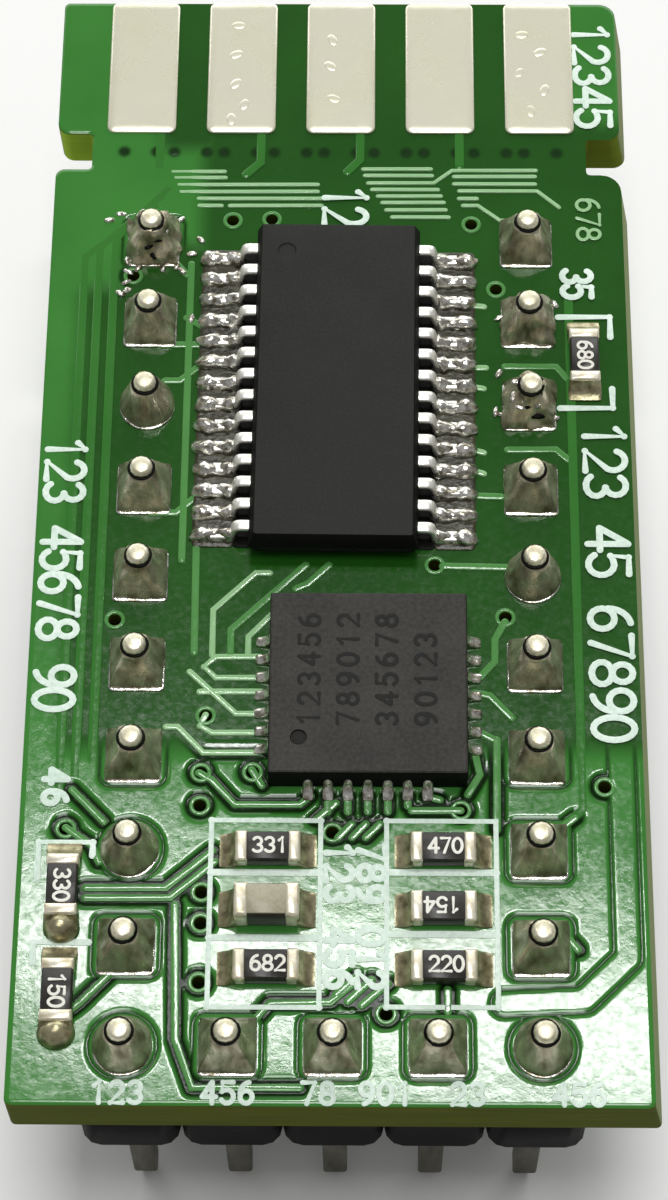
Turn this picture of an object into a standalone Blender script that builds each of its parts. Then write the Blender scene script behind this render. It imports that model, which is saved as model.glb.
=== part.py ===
"""Interface converter module: a small two-layer circuit board that stands on three black pin headers.

Metres, +Z up. X runs across the board and Y along it, towards the tab with the edge contacts.
The lower pin tips stand on Z = 0 and the origin is under the middle of the board.
"""
import math

import bmesh
import bpy
from mathutils import Vector

# Pin grid: two long rows down the sides and a short one across the front
PIN_PITCH = 0.00254
SIDE_PINS = 10
FRONT_PINS = 3
ROW_SPACING = 4 * PIN_PITCH

# Two slots mark off the tab that carries the edge contacts, the right one cut a touch lower
TAB_LENGTH = 0.00452
SLOT_WIDTH = 0.00118
SLOT_DEPTH = 0.00125
SLOT_SKEW = 0.00008
SLOT_TAB_CORNER_RADIUS = 0.00035
SLOT_LEFT_SHOULDER_RADIUS = 0.0003
SLOT_RIGHT_SHOULDER_RADIUS = 0.00055

# Board: laid out round the pin grid, with a right edge that was scored and snapped and leans inwards
SIDE_MARGIN = 0.00287
FRONT_MARGIN = 0.00149
LAST_PIN_TO_SLOT = 0.00235
BOARD_WIDTH = ROW_SPACING + 2 * SIDE_MARGIN
BOARD_LENGTH = FRONT_MARGIN + (SIDE_PINS - 1) * PIN_PITCH + LAST_PIN_TO_SLOT + SLOT_WIDTH + TAB_LENGTH
BOARD_THICKNESS = 0.0016
SCORED_EDGE_LEAN = 0.00028
FRONT_CORNER_RADIUS = 0.00015
FAR_LEFT_CORNER_RADIUS = 0.00015
FAR_RIGHT_CORNER_RADIUS = 0.00045

# The copper artwork and the pin grid lie a little left of the middle of the cut outline
ARTWORK_X = -0.00008

# Edge contacts, in the pitch of a nine-way D connector: five above, four below between them
CONTACT_PITCH = 0.00277
CONTACT_WIDTH = 0.00191
CONTACT_LENGTH = 0.00443
CONTACT_THICKNESS = 0.00007
CONTACT_SETBACK = 0.00002
CONTACT_CORNER_RADIUS = 0.00022
TOP_CONTACTS = 5
BOTTOM_CONTACTS = 4

# A row of fine holes lets the tab be broken off, two beside each contact's track
PERFORATION_DIAMETER = 0.0003
PERFORATION_OFFSET = 0.00045

# Pin headers: square wire through grooved strips of plastic
PIN_SIZE = 0.00064
PIN_TAIL = 0.0061
PIN_HEAD = 0.0030
PIN_TIP_SIZE = 0.00034
PIN_TAIL_TAPER = 0.00055
PIN_HEAD_TAPER = 0.00018
HEADER_HEIGHT = 0.00254
HEADER_WIDTH = 0.0025
HEADER_GROOVE = 0.00042
HEADER_BORE_CLEARANCE = 0.00004

# Soldered holes
PIN_HOLE_DIAMETER = 0.00102
SOLDER_PAD_SIZE = 0.00138
SQUARE_PAD_CORNER = 0.00022
SOLDER_LIP = 0.00009
SOLDER_HEIGHT = 0.0011
COLLAR_SPREAD = 0.3
COLLAR_RISE = 0.45

# Clearances between pieces that touch on the real board
SEAT_GAP = 0.00004
BARREL_CLEARANCE = 0.00004

# Plated holes between the two copper layers, as (x, y) from the middle pin of the front row
VIA_DIAMETER = 0.00034
VIAS = (
    (-0.00293, 0.02359), (-0.00186, 0.02363), (0.00360, 0.02348), (-0.00560, 0.02180),
    (0.00425, 0.02140), (-0.00570, 0.01141), (0.00254, 0.01302), (0.00435, 0.01152),
    (-0.00329, 0.00872), (-0.00207, 0.00717), (-0.00337, 0.00715), (-0.00337, 0.00626),
    (0.00315, 0.00616), (0.00676, 0.00681), (-0.00005, 0.00555), (-0.00670, 0.00562),
    (-0.00327, 0.00395), (-0.00327, 0.00314), (-0.00328, 0.00161), (0.00129, 0.00083),
)

# Line driver: a thin shrink small-outline package, 14 gull-wing leads a side
DRIVER_X = -0.00005
DRIVER_Y = 0.01804
DRIVER_TURN = math.radians(-0.5)
DRIVER_WIDTH = 0.0044
DRIVER_END_MARGIN = 0.00051
DRIVER_STANDOFF = 0.0001
DRIVER_HEIGHT = 0.001
DRIVER_DRAFT = 0.00013
DRIVER_EDGE = 0.00004
DRIVER_MARK_DIAMETER = 0.0005
DRIVER_MARK_DEPTH = 0.00003
DRIVER_MARK_INSET_X = 0.00082
DRIVER_MARK_INSET_Y = 0.00098
DRIVER_LEADS_A_SIDE = 14
LEAD_PITCH = 0.00065
LEAD_WIDTH = 0.00023
LEAD_THICKNESS = 0.00013
LEAD_SPAN = 0.0064
LEAD_FOOT = 0.0005
LEAD_HEEL_SHIFT = 0.0001
DRIVER_LENGTH = (DRIVER_LEADS_A_SIDE - 1) * LEAD_PITCH + LEAD_WIDTH + 2 * DRIVER_END_MARGIN

# Bridge controller: a square leadless package, 7 terminals a side
BRIDGE_X = 0.00083
BRIDGE_Y = 0.00928
BRIDGE_HEIGHT = 0.0009
BRIDGE_EDGE = 0.00005
BRIDGE_TERMINALS_A_SIDE = 7
TERMINAL_PITCH = 0.0005
TERMINAL_WIDTH = 0.00024
TERMINAL_LENGTH = 0.0004
TERMINAL_HEIGHT = 0.00022
TERMINAL_PROUD = 0.00003
BRIDGE_CORNER_MARGIN = 0.00088
BRIDGE_SIZE = (BRIDGE_TERMINALS_A_SIDE - 1) * TERMINAL_PITCH + TERMINAL_WIDTH + 2 * BRIDGE_CORNER_MARGIN
PIN_ONE_DIAMETER = 0.00042
PIN_ONE_DEPTH = 0.00004
PIN_ONE_INSET = 0.00088

# Chip components: (length, width, height, end cap)
RESISTOR_0603 = (0.0016, 0.0008, 0.00045, 0.0003)
CAPACITOR_0603 = (0.0016, 0.00085, 0.00085, 0.00032)
CAP_PROUD = 0.00002
CHIP_EDGE = 0.00003

# Where the chips lie: two columns between the pin rows, and three chips outside them
LEFT_COLUMN_X = -0.00164
RIGHT_COLUMN_X = 0.00270
CHIP_ROWS_Y = (0.00503, 0.00348, 0.00195)
LEFT_EDGE_CHIP_OFFSET = 0.00161
LEFT_EDGE_CHIPS_Y = (0.00400, 0.00128)
RIGHT_EDGE_CHIP_OFFSET = 0.00149
RIGHT_EDGE_CHIP_Y = 0.01913
QUARTER_TURN = math.radians(90)

# Levels
HEADER_BOTTOM_Z = PIN_TAIL
HEADER_TOP_Z = HEADER_BOTTOM_Z + HEADER_HEIGHT
BOARD_BOTTOM_Z = HEADER_TOP_Z + SEAT_GAP
BOARD_TOP_Z = BOARD_BOTTOM_Z + BOARD_THICKNESS
PIN_TOP_Z = HEADER_TOP_Z + PIN_HEAD
PART_SEAT_Z = BOARD_TOP_Z + SEAT_GAP

# Places along the board
FRONT_ROW_Y = -BOARD_LENGTH / 2 + FRONT_MARGIN
SLOT_FAR_Y = BOARD_LENGTH / 2 - TAB_LENGTH
LEFT_SLOT_Y = SLOT_FAR_Y - SLOT_WIDTH / 2
RIGHT_SLOT_Y = LEFT_SLOT_Y - SLOT_SKEW
PERFORATION_Y = (LEFT_SLOT_Y + RIGHT_SLOT_Y) / 2
CUT_MARGIN = 0.001
MERGE_DISTANCE = 1e-7


def srgb(code):
    """Linear colour of an sRGB hex code."""
    channels = [int(code[i:i + 2], 16) / 255 for i in (0, 2, 4)]
    return [c / 12.92 if c <= 0.04045 else ((c + 0.055) / 1.055) ** 2.4 for c in channels]


def material(name, code, roughness, metallic=0.0):
    """A Principled material of one colour."""
    mat = bpy.data.materials.new(name)
    mat.use_nodes = True
    shader = mat.node_tree.nodes["Principled BSDF"]
    shader.inputs["Base Color"].default_value = (*srgb(code), 1.0)
    shader.inputs["Roughness"].default_value = roughness
    shader.inputs["Metallic"].default_value = metallic
    mat.diffuse_color = (*srgb(code), 1.0)
    return mat


def new_object(name, mesh, collection, mat=None):
    """An object around a mesh, in a collection, with one material."""
    obj = bpy.data.objects.new(name, mesh)
    collection.objects.link(obj)
    if mat and not mesh.materials:
        mesh.materials.append(mat)
    return obj


def mesh_from(name, build):
    """A mesh that the given function fills through bmesh, with welded points and outward faces."""
    bm = bmesh.new()
    build(bm)
    bmesh.ops.remove_doubles(bm, verts=bm.verts, dist=MERGE_DISTANCE)
    bmesh.ops.recalc_face_normals(bm, faces=bm.faces)
    mesh = bpy.data.meshes.new(name)
    bm.to_mesh(mesh)
    bm.free()
    return mesh


def add_box(bm, size, centre):
    """A box in a bmesh, by its full sizes and its centre."""
    made = bmesh.ops.create_cube(bm, size=1.0)
    bmesh.ops.scale(bm, vec=Vector(size), verts=made["verts"])
    bmesh.ops.translate(bm, vec=Vector(centre), verts=made["verts"])


def add_cylinder(bm, diameter, depth, centre, segments):
    """An upright cylinder in a bmesh."""
    made = bmesh.ops.create_cone(bm, cap_ends=True, segments=segments, radius1=diameter / 2,
                                 radius2=diameter / 2, depth=depth)
    bmesh.ops.translate(bm, vec=Vector(centre), verts=made["verts"])


def arc(centre_x, centre_y, radius, start, end, steps):
    """Points on an arc, both ends included."""
    turns = [start + (end - start) * i / steps for i in range(steps + 1)]
    return [(centre_x + radius * math.cos(t), centre_y + radius * math.sin(t)) for t in turns]


def rounded_outline(corners, steps=5):
    """A closed outline through corners (x, y, radius) that meet at right angles."""
    points = []
    for i, (x, y, radius) in enumerate(corners):
        here = Vector((x, y))
        back = (Vector(corners[i - 1][:2]) - here).normalized()
        ahead = (Vector(corners[(i + 1) % len(corners)][:2]) - here).normalized()
        centre = here + (back + ahead) * radius
        start = math.atan2(-ahead.y, -ahead.x)
        turn = math.copysign(math.pi / 2, back.y * ahead.x - back.x * ahead.y)
        points += arc(centre.x, centre.y, radius, start, start + turn, steps)
    return points


def plate(name, outline, low, high):
    """A mesh of a flat outline between two heights, made as a filled 2D curve."""
    curve = bpy.data.curves.new(name, "CURVE")
    curve.dimensions = "2D"
    curve.fill_mode = "BOTH"
    curve.extrude = (high - low) / 2
    spline = curve.splines.new("POLY")
    spline.points.add(len(outline) - 1)
    for point, (x, y) in zip(spline.points, outline):
        point.co = (x, y, 0.0, 1.0)
    spline.use_cyclic_u = True
    holder = bpy.data.objects.new(name, curve)
    bpy.context.scene.collection.objects.link(holder)
    bpy.context.view_layer.update()
    mesh = bpy.data.meshes.new_from_object(holder.evaluated_get(bpy.context.evaluated_depsgraph_get()))
    bpy.data.objects.remove(holder)
    bm = bmesh.new()
    bm.from_mesh(mesh)
    bmesh.ops.remove_doubles(bm, verts=bm.verts, dist=MERGE_DISTANCE)
    bmesh.ops.dissolve_limit(bm, angle_limit=math.radians(1), verts=bm.verts, edges=bm.edges)
    bmesh.ops.translate(bm, vec=(0, 0, (low + high) / 2), verts=bm.verts)
    bmesh.ops.recalc_face_normals(bm, faces=bm.faces)
    bm.to_mesh(mesh)
    bm.free()
    mesh.name = name
    mesh.materials.clear()
    return mesh


def cutter(name, mesh):
    """A hidden piece that a Boolean uses."""
    obj = new_object(name, mesh, cutters)
    obj.hide_render = True
    obj.display_type = "WIRE"
    return obj


def boolean(obj, tool, operation="DIFFERENCE"):
    """Cuts or joins with another object."""
    modifier = obj.modifiers.new(tool.name, "BOOLEAN")
    modifier.operation = operation
    modifier.solver = "EXACT"
    modifier.object = tool


def bevel(obj, width, segments=1, angle=30):
    """Softens the sharp edges of an object."""
    modifier = obj.modifiers.new("edges", "BEVEL")
    modifier.width = width
    modifier.segments = segments
    modifier.limit_method = "ANGLE"
    modifier.angle_limit = math.radians(angle)


def baked(obj):
    """The mesh of an object with its modifiers, freed of the object."""
    bpy.context.view_layer.update()
    graph = bpy.context.evaluated_depsgraph_get()
    mesh = bpy.data.meshes.new_from_object(obj.evaluated_get(graph))
    mesh.name = obj.name
    bpy.data.objects.remove(obj)
    return mesh


def pin_places():
    """Name, x and y of every header pin, side rows from the tab down, then the front row."""
    places = []
    for side, sign in (("left", -1), ("right", 1)):
        for i in range(SIDE_PINS):
            y = FRONT_ROW_Y + (SIDE_PINS - 1 - i) * PIN_PITCH
            places.append((f"pin_{side}_{i + 1:02d}", ARTWORK_X + sign * ROW_SPACING / 2, y))
    for i in range(FRONT_PINS):
        x = ARTWORK_X + (i - (FRONT_PINS - 1) / 2) * PIN_PITCH
        places.append((f"pin_front_{i + 1}", x, FRONT_ROW_Y))
    return places


def make_board():
    """The bare board: outline with two slots, scored edge, pin holes, vias and perforations."""
    half_x, half_y = BOARD_WIDTH / 2, BOARD_LENGTH / 2
    end = SLOT_WIDTH / 2
    corners = [
        (-half_x, -half_y, FRONT_CORNER_RADIUS),
        (half_x, -half_y, FRONT_CORNER_RADIUS),
        (half_x, RIGHT_SLOT_Y - end, SLOT_RIGHT_SHOULDER_RADIUS),
        (half_x - SLOT_DEPTH, RIGHT_SLOT_Y - end, end),
        (half_x - SLOT_DEPTH, RIGHT_SLOT_Y + end, end),
        (half_x, RIGHT_SLOT_Y + end, SLOT_TAB_CORNER_RADIUS),
        (half_x, half_y, FAR_RIGHT_CORNER_RADIUS),
        (-half_x, half_y, FAR_LEFT_CORNER_RADIUS),
        (-half_x, LEFT_SLOT_Y + end, SLOT_TAB_CORNER_RADIUS),
        (-half_x + SLOT_DEPTH, LEFT_SLOT_Y + end, end),
        (-half_x + SLOT_DEPTH, LEFT_SLOT_Y - end, end),
        (-half_x, LEFT_SLOT_Y - end, SLOT_LEFT_SHOULDER_RADIUS),
    ]
    mesh = plate("pcb", rounded_outline(corners), BOARD_BOTTOM_Z, BOARD_TOP_Z)
    board = new_object("pcb", mesh, assembly, board_green)

    def drill(bm):
        depth = BOARD_THICKNESS + CUT_MARGIN
        middle = (BOARD_BOTTOM_Z + BOARD_TOP_Z) / 2
        for _, x, y in pin_places():
            add_cylinder(bm, PIN_HOLE_DIAMETER, depth, (x, y, middle), 12)
        for x, y in VIAS:
            add_cylinder(bm, VIA_DIAMETER, depth, (ARTWORK_X + x, FRONT_ROW_Y + y, middle), 8)
        tracks = TOP_CONTACTS + BOTTOM_CONTACTS
        for i in range(tracks):
            x = ARTWORK_X + (i - (tracks - 1) / 2) * CONTACT_PITCH / 2
            for sign in (-1, 1):
                place = (x + sign * PERFORATION_OFFSET, PERFORATION_Y, middle)
                add_cylinder(bm, PERFORATION_DIAMETER, depth, place, 8)

    boolean(board, cutter("board_drills", mesh_from("board_drills", drill)))

    lean = math.atan2(SCORED_EDGE_LEAN, BOARD_THICKNESS)
    wedge = mesh_from("scored_edge", lambda bm: add_box(
        bm, (CUT_MARGIN, BOARD_LENGTH + CUT_MARGIN, 4 * BOARD_THICKNESS), (CUT_MARGIN / 2, 0, 0)))
    wedge_cutter = cutter("scored_edge", wedge)
    wedge_cutter.location = (half_x, 0, BOARD_BOTTOM_Z)
    wedge_cutter.rotation_euler = (0, -lean, 0)
    boolean(board, wedge_cutter)


def header_outline(count):
    """Outline of a strip along Y: a row of eight-sided blocks with a V groove between neighbours."""
    half = HEADER_WIDTH / 2
    end = (count - 1) * PIN_PITCH / 2 + HEADER_WIDTH / 2
    right = [(half - HEADER_GROOVE, -end), (half, -end + HEADER_GROOVE)]
    for i in range(count - 1):
        groove_y = (i - (count - 2) / 2) * PIN_PITCH
        right.append((half, groove_y - HEADER_GROOVE))
        right.append((half - HEADER_GROOVE, groove_y))
        right.append((half, groove_y + HEADER_GROOVE))
    right += [(half, end - HEADER_GROOVE), (half - HEADER_GROOVE, end)]
    left = [(-x, -y) for x, y in right]
    return right + left


def make_header(name, count, x, y, turn):
    """A header strip: grooved plastic with a square bore for each pin."""
    mesh = plate(name, header_outline(count), HEADER_BOTTOM_Z, HEADER_TOP_Z)
    strip = new_object(name, mesh, assembly, header_black)
    bore = PIN_SIZE + 2 * HEADER_BORE_CLEARANCE
    middle = (HEADER_BOTTOM_Z + HEADER_TOP_Z) / 2

    def bores(bm):
        for i in range(count):
            bore_y = (i - (count - 1) / 2) * PIN_PITCH
            add_box(bm, (bore, bore, HEADER_HEIGHT + CUT_MARGIN), (0, bore_y, middle))

    tool = cutter(f"{name}_bores", mesh_from(f"{name}_bores", bores))
    boolean(strip, tool)
    for obj in (strip, tool):
        obj.location = (x, y, 0)
        obj.rotation_euler = (0, 0, turn)


def ring(size, corner, z, steps=3):
    """A square ring of points with rounded corners: corner is half the size for a circle."""
    flat = size / 2 - corner
    points = []
    for i in range(4):
        start = i * math.pi / 2
        side_x = flat * (1 if i in (0, 3) else -1)
        side_y = flat * (1 if i in (0, 1) else -1)
        points += arc(side_x, side_y, corner, start, start + math.pi / 2, steps)
    return [Vector((x, y, z)) for x, y in points]


def loft(bm, rings):
    """Skins a stack of rings of equal count and closes both ends."""
    loops = [[bm.verts.new(point) for point in one] for one in rings]
    count = len(rings[0])
    for lower, upper in zip(loops, loops[1:]):
        for i in range(count):
            j = (i + 1) % count
            bm.faces.new((lower[i], lower[j], upper[j], upper[i]))
    bm.faces.new(reversed(loops[0]))
    bm.faces.new(loops[-1])


def pin_mesh(name, pad_corner):
    """A header pin with its solder: square wire, round barrel in the board and a cone on the pad."""
    barrel = PIN_HOLE_DIAMETER - 2 * BARREL_CLEARANCE
    collar = PIN_SIZE + COLLAR_SPREAD * (SOLDER_PAD_SIZE - PIN_SIZE)
    foot_z = BOARD_TOP_Z + SEAT_GAP
    barrel_z = BOARD_BOTTOM_Z + SEAT_GAP
    rings = [
        ring(PIN_TIP_SIZE, 0, 0),
        ring(PIN_SIZE, 0, PIN_TAIL_TAPER),
        ring(PIN_SIZE, 0, barrel_z),
        ring(barrel, barrel / 2, barrel_z),
        ring(barrel, barrel / 2, foot_z),
        ring(SOLDER_PAD_SIZE, pad_corner, foot_z),
        ring(SOLDER_PAD_SIZE, pad_corner, foot_z + SOLDER_LIP),
        ring(collar, collar / 2, foot_z + COLLAR_RISE * SOLDER_HEIGHT),
        ring(PIN_SIZE, 0, foot_z + SOLDER_HEIGHT),
        ring(PIN_SIZE, 0, PIN_TOP_Z - PIN_HEAD_TAPER),
        ring(PIN_TIP_SIZE, 0, PIN_TOP_Z),
    ]
    return mesh_from(name, lambda bm: loft(bm, rings))


def make_pins():
    """Every pin is its own object; corner pins stand on round pads and the others on square ones."""
    square = pin_mesh("pin_on_square_pad", SQUARE_PAD_CORNER)
    round_pad = pin_mesh("pin_on_round_pad", SOLDER_PAD_SIZE / 2)
    round_names = {"pin_left_03", "pin_left_08", "pin_left_10", "pin_right_05", "pin_right_10"}
    for name, x, y in pin_places():
        mesh = round_pad if name in round_names else square
        pin = new_object(name, mesh, assembly, tinned_pin)
        pin.location = (x, y, 0)


def make_contacts():
    """The edge contacts on both faces of the tab."""
    half = CONTACT_WIDTH / 2
    end_y = BOARD_LENGTH / 2 - CONTACT_SETBACK
    corners = [
        (-half, end_y - CONTACT_LENGTH, CONTACT_CORNER_RADIUS),
        (half, end_y - CONTACT_LENGTH, CONTACT_CORNER_RADIUS),
        (half, end_y, CONTACT_SETBACK),
        (-half, end_y, CONTACT_SETBACK),
    ]
    outline = rounded_outline(corners, steps=3)
    top_low = BOARD_TOP_Z + SEAT_GAP
    bottom_high = BOARD_BOTTOM_Z - SEAT_GAP
    faces = (
        ("top", TOP_CONTACTS, top_low, top_low + CONTACT_THICKNESS),
        ("bottom", BOTTOM_CONTACTS, bottom_high - CONTACT_THICKNESS, bottom_high),
    )
    for face, count, low, high in faces:
        mesh = plate(f"contact_{face}", outline, low, high)
        for i in range(count):
            contact = new_object(f"edge_contact_{face}_{i + 1}", mesh, assembly, tinned_copper)
            contact.location.x = ARTWORK_X + (i - (count - 1) / 2) * CONTACT_PITCH


def lead_outline():
    """Side view of a gull-wing lead on the +X side, as (x, z) points around its thickness."""
    body_x = DRIVER_WIDTH / 2 - 2 * DRIVER_DRAFT
    shoulder_z = DRIVER_STANDOFF + DRIVER_HEIGHT / 2
    toe_x = LEAD_SPAN / 2
    heel_x = toe_x - LEAD_FOOT
    knee_x = heel_x - LEAD_HEEL_SHIFT
    half = LEAD_THICKNESS / 2
    centre = [(body_x, shoulder_z), (knee_x, shoulder_z), (heel_x, half), (toe_x, half)]
    upper, lower = [], []
    for i, (x, z) in enumerate(centre):
        before = Vector(centre[max(i - 1, 0)])
        after = Vector(centre[min(i + 1, len(centre) - 1)])
        here = Vector((x, z))
        ahead = (after - here).normalized() if after != here else (here - before).normalized()
        behind = (here - before).normalized() if before != here else ahead
        normal = Vector((-(ahead + behind).y, (ahead + behind).x)).normalized()
        reach = half / max(normal.dot(Vector((-ahead.y, ahead.x))), 0.5)
        upper.append(here + normal * reach)
        lower.append(here - normal * reach)
    return [tuple(point) for point in upper + lower[::-1]]


def make_driver():
    """The line driver: a drafted moulding joined with its gull-wing leads, and a first-pin dimple."""
    lowest = DRIVER_STANDOFF
    middle = lowest + DRIVER_HEIGHT / 2

    def moulding(bm):
        bmesh.ops.create_cube(bm, size=1.0)
        upright = [e for e in bm.edges if abs(e.verts[0].co.z - e.verts[1].co.z) > 0.5]
        bmesh.ops.subdivide_edges(bm, edges=upright, cuts=1)
        for vert in bm.verts:
            draft = 0.0 if abs(vert.co.z) < 0.25 else DRIVER_DRAFT
            vert.co.x *= DRIVER_WIDTH - 2 * draft
            vert.co.y *= DRIVER_LENGTH - 2 * draft
            vert.co.z = middle + vert.co.z * DRIVER_HEIGHT

    body = new_object("line_driver_ic", mesh_from("line_driver_ic", moulding), assembly, package_black)
    bevel(body, DRIVER_EDGE)
    outline = lead_outline()
    lead = plate("lead", outline, -LEAD_WIDTH / 2, LEAD_WIDTH / 2)

    def leads(bm):
        for i in range(DRIVER_LEADS_A_SIDE):
            y = (i - (DRIVER_LEADS_A_SIDE - 1) / 2) * LEAD_PITCH
            for sign in (-1, 1):
                start = len(bm.verts)
                bm.from_mesh(lead)
                bm.verts.ensure_lookup_table()
                for vert in bm.verts[start:]:
                    along, up, across = vert.co
                    vert.co = (sign * along, y + across, up)

    def dimple(bm):
        place = (-DRIVER_WIDTH / 2 + DRIVER_MARK_INSET_X, DRIVER_LENGTH / 2 - DRIVER_MARK_INSET_Y,
                 lowest + DRIVER_HEIGHT)
        add_cylinder(bm, DRIVER_MARK_DIAMETER, 2 * DRIVER_MARK_DEPTH, place, 16)

    join = cutter("line_driver_leads", mesh_from("line_driver_leads", leads))
    mark = cutter("line_driver_first_pin", mesh_from("line_driver_first_pin", dimple))
    boolean(body, join, "UNION")
    boolean(body, mark)
    for obj in (body, join, mark):
        obj.location = (ARTWORK_X + DRIVER_X, FRONT_ROW_Y + DRIVER_Y, PART_SEAT_Z)
        obj.rotation_euler = (0, 0, DRIVER_TURN)


def make_bridge():
    """The bridge controller: a square moulding with flush terminals and a first-pin dimple."""
    def slab(bm):
        add_box(bm, (BRIDGE_SIZE, BRIDGE_SIZE, BRIDGE_HEIGHT), (0, 0, BRIDGE_HEIGHT / 2))

    body = new_object("bridge_ic", mesh_from("bridge_ic", slab), assembly, package_grey)
    bevel(body, BRIDGE_EDGE)

    def terminals(bm):
        reach = BRIDGE_SIZE / 2 + TERMINAL_PROUD - TERMINAL_LENGTH / 2
        for i in range(BRIDGE_TERMINALS_A_SIDE):
            along = (i - (BRIDGE_TERMINALS_A_SIDE - 1) / 2) * TERMINAL_PITCH
            for sign in (-1, 1):
                add_box(bm, (TERMINAL_WIDTH, TERMINAL_LENGTH, TERMINAL_HEIGHT),
                        (along, sign * reach, TERMINAL_HEIGHT / 2))
                add_box(bm, (TERMINAL_LENGTH, TERMINAL_WIDTH, TERMINAL_HEIGHT),
                        (sign * reach, along, TERMINAL_HEIGHT / 2))

    def dimple(bm):
        place = -BRIDGE_SIZE / 2 + PIN_ONE_INSET
        add_cylinder(bm, PIN_ONE_DIAMETER, 2 * PIN_ONE_DEPTH, (place, place, BRIDGE_HEIGHT), 16)

    join = cutter("bridge_terminals", mesh_from("bridge_terminals", terminals))
    mark = cutter("bridge_first_pin", mesh_from("bridge_first_pin", dimple))
    boolean(body, join, "UNION")
    boolean(body, mark)
    for obj in (body, join, mark):
        obj.location = (ARTWORK_X + BRIDGE_X, FRONT_ROW_Y + BRIDGE_Y, PART_SEAT_Z)


def chip_mesh(name, size):
    """A chip component along X: ceramic block inside two wrap-around end caps."""
    length, width, height, cap = size
    block_width, block_height = width - 2 * CAP_PROUD, height - 2 * CAP_PROUD

    def block(bm):
        add_box(bm, (length - cap, block_width, block_height), (0, 0, height / 2))

    def caps(bm):
        for sign in (-1, 1):
            add_box(bm, (cap, width, height), (sign * (length - cap) / 2, 0, height / 2))

    body = new_object(name, mesh_from(name, block), assembly)
    ends = new_object(f"{name}_caps", mesh_from(f"{name}_caps", caps), assembly)
    bevel(ends, CHIP_EDGE, segments=2)
    boolean(body, ends, "UNION")
    mesh = baked(body)
    bpy.data.objects.remove(ends)
    return mesh


def make_chips():
    """Resistors and the capacitor, each its own object on its pads."""
    kinds = {
        "resistor_0603": (chip_mesh("resistor_0603", RESISTOR_0603), chip_black),
        "capacitor_0603": (chip_mesh("capacitor_0603", CAPACITOR_0603), capacitor_tan),
    }
    top, middle, bottom = CHIP_ROWS_Y
    upper, lower = LEFT_EDGE_CHIPS_Y
    left_edge_x = -ROW_SPACING / 2 - LEFT_EDGE_CHIP_OFFSET
    right_edge_x = ROW_SPACING / 2 + RIGHT_EDGE_CHIP_OFFSET
    places = (
        ("resistor_0603_1", LEFT_COLUMN_X, top, 0),
        ("capacitor_0603_1", LEFT_COLUMN_X, middle, 0),
        ("resistor_0603_2", LEFT_COLUMN_X, bottom, 0),
        ("resistor_0603_3", RIGHT_COLUMN_X, top, 0),
        ("resistor_0603_4", RIGHT_COLUMN_X, middle, 0),
        ("resistor_0603_5", RIGHT_COLUMN_X, bottom, 0),
        ("resistor_0603_6", left_edge_x, upper, QUARTER_TURN),
        ("resistor_0603_7", left_edge_x, lower, QUARTER_TURN),
        ("resistor_0603_8", right_edge_x, RIGHT_EDGE_CHIP_Y, QUARTER_TURN),
    )
    for name, x, y, turn in places:
        mesh, mat = kinds[name.rsplit("_", 1)[0]]
        chip = new_object(name, mesh, assembly, mat)
        chip.location = (ARTWORK_X + x, FRONT_ROW_Y + y, PART_SEAT_Z)
        chip.rotation_euler = (0, 0, turn)


def shade():
    """Round walls shade smooth, flat ones stay crisp."""
    for mesh in {obj.data for obj in assembly.objects}:
        mesh.shade_smooth()
        mesh.set_sharp_from_angle(angle=math.radians(35))


for leftover in list(bpy.data.objects):
    bpy.data.objects.remove(leftover)

assembly = bpy.data.collections.new("interface_converter_module")
cutters = bpy.data.collections.new("cutters")
bpy.context.scene.collection.children.link(assembly)
bpy.context.scene.collection.children.link(cutters)

board_green = material("solder_mask_green", "38702F", 0.35)
header_black = material("header_plastic_black", "17181C", 0.45)
tinned_pin = material("tinned_pin", "A9A592", 0.35, 1.0)
tinned_copper = material("tinned_copper", "DEDCC6", 0.3, 1.0)
package_black = material("package_black", "35362F", 0.5)
package_grey = material("package_grey", "4B4944", 0.55)
chip_black = material("chip_resistor_black", "22231F", 0.3)
capacitor_tan = material("capacitor_ceramic", "A8977C", 0.4)

make_board()
header_x = ROW_SPACING / 2
side_strip_y = FRONT_ROW_Y + (SIDE_PINS - 1) * PIN_PITCH / 2
make_header("header_left", SIDE_PINS, ARTWORK_X - header_x, side_strip_y, 0)
make_header("header_right", SIDE_PINS, ARTWORK_X + header_x, side_strip_y, 0)
make_header("header_front", FRONT_PINS, ARTWORK_X, FRONT_ROW_Y, QUARTER_TURN)
make_pins()
make_contacts()
make_driver()
make_bridge()
make_chips()
shade()
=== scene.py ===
# %% [markdown]
# # Interface converter module
# A thumb-sized circuit board that stands on black pin headers, seen from above its front edge.
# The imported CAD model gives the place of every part. Each step here dresses one kind of part:
# the painted copper of the board, the soldered pins, the two packages, the chips and the ink.

# %% Open the frame
import math

import bmesh
import bpy
from mathutils import Euler, Matrix, Quaternion, Vector


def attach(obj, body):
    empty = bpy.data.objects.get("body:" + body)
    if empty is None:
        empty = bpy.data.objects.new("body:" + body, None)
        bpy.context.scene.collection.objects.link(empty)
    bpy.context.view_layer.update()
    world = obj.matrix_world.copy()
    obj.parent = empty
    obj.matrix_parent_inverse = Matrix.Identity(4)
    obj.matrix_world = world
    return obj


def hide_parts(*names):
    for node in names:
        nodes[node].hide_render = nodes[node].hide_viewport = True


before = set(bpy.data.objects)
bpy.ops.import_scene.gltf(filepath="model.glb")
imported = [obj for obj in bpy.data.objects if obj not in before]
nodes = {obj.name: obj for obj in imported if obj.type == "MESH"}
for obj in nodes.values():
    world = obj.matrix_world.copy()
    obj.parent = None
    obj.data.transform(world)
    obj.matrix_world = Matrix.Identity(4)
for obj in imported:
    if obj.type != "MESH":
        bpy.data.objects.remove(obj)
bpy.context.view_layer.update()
MM = 0.001

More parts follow.
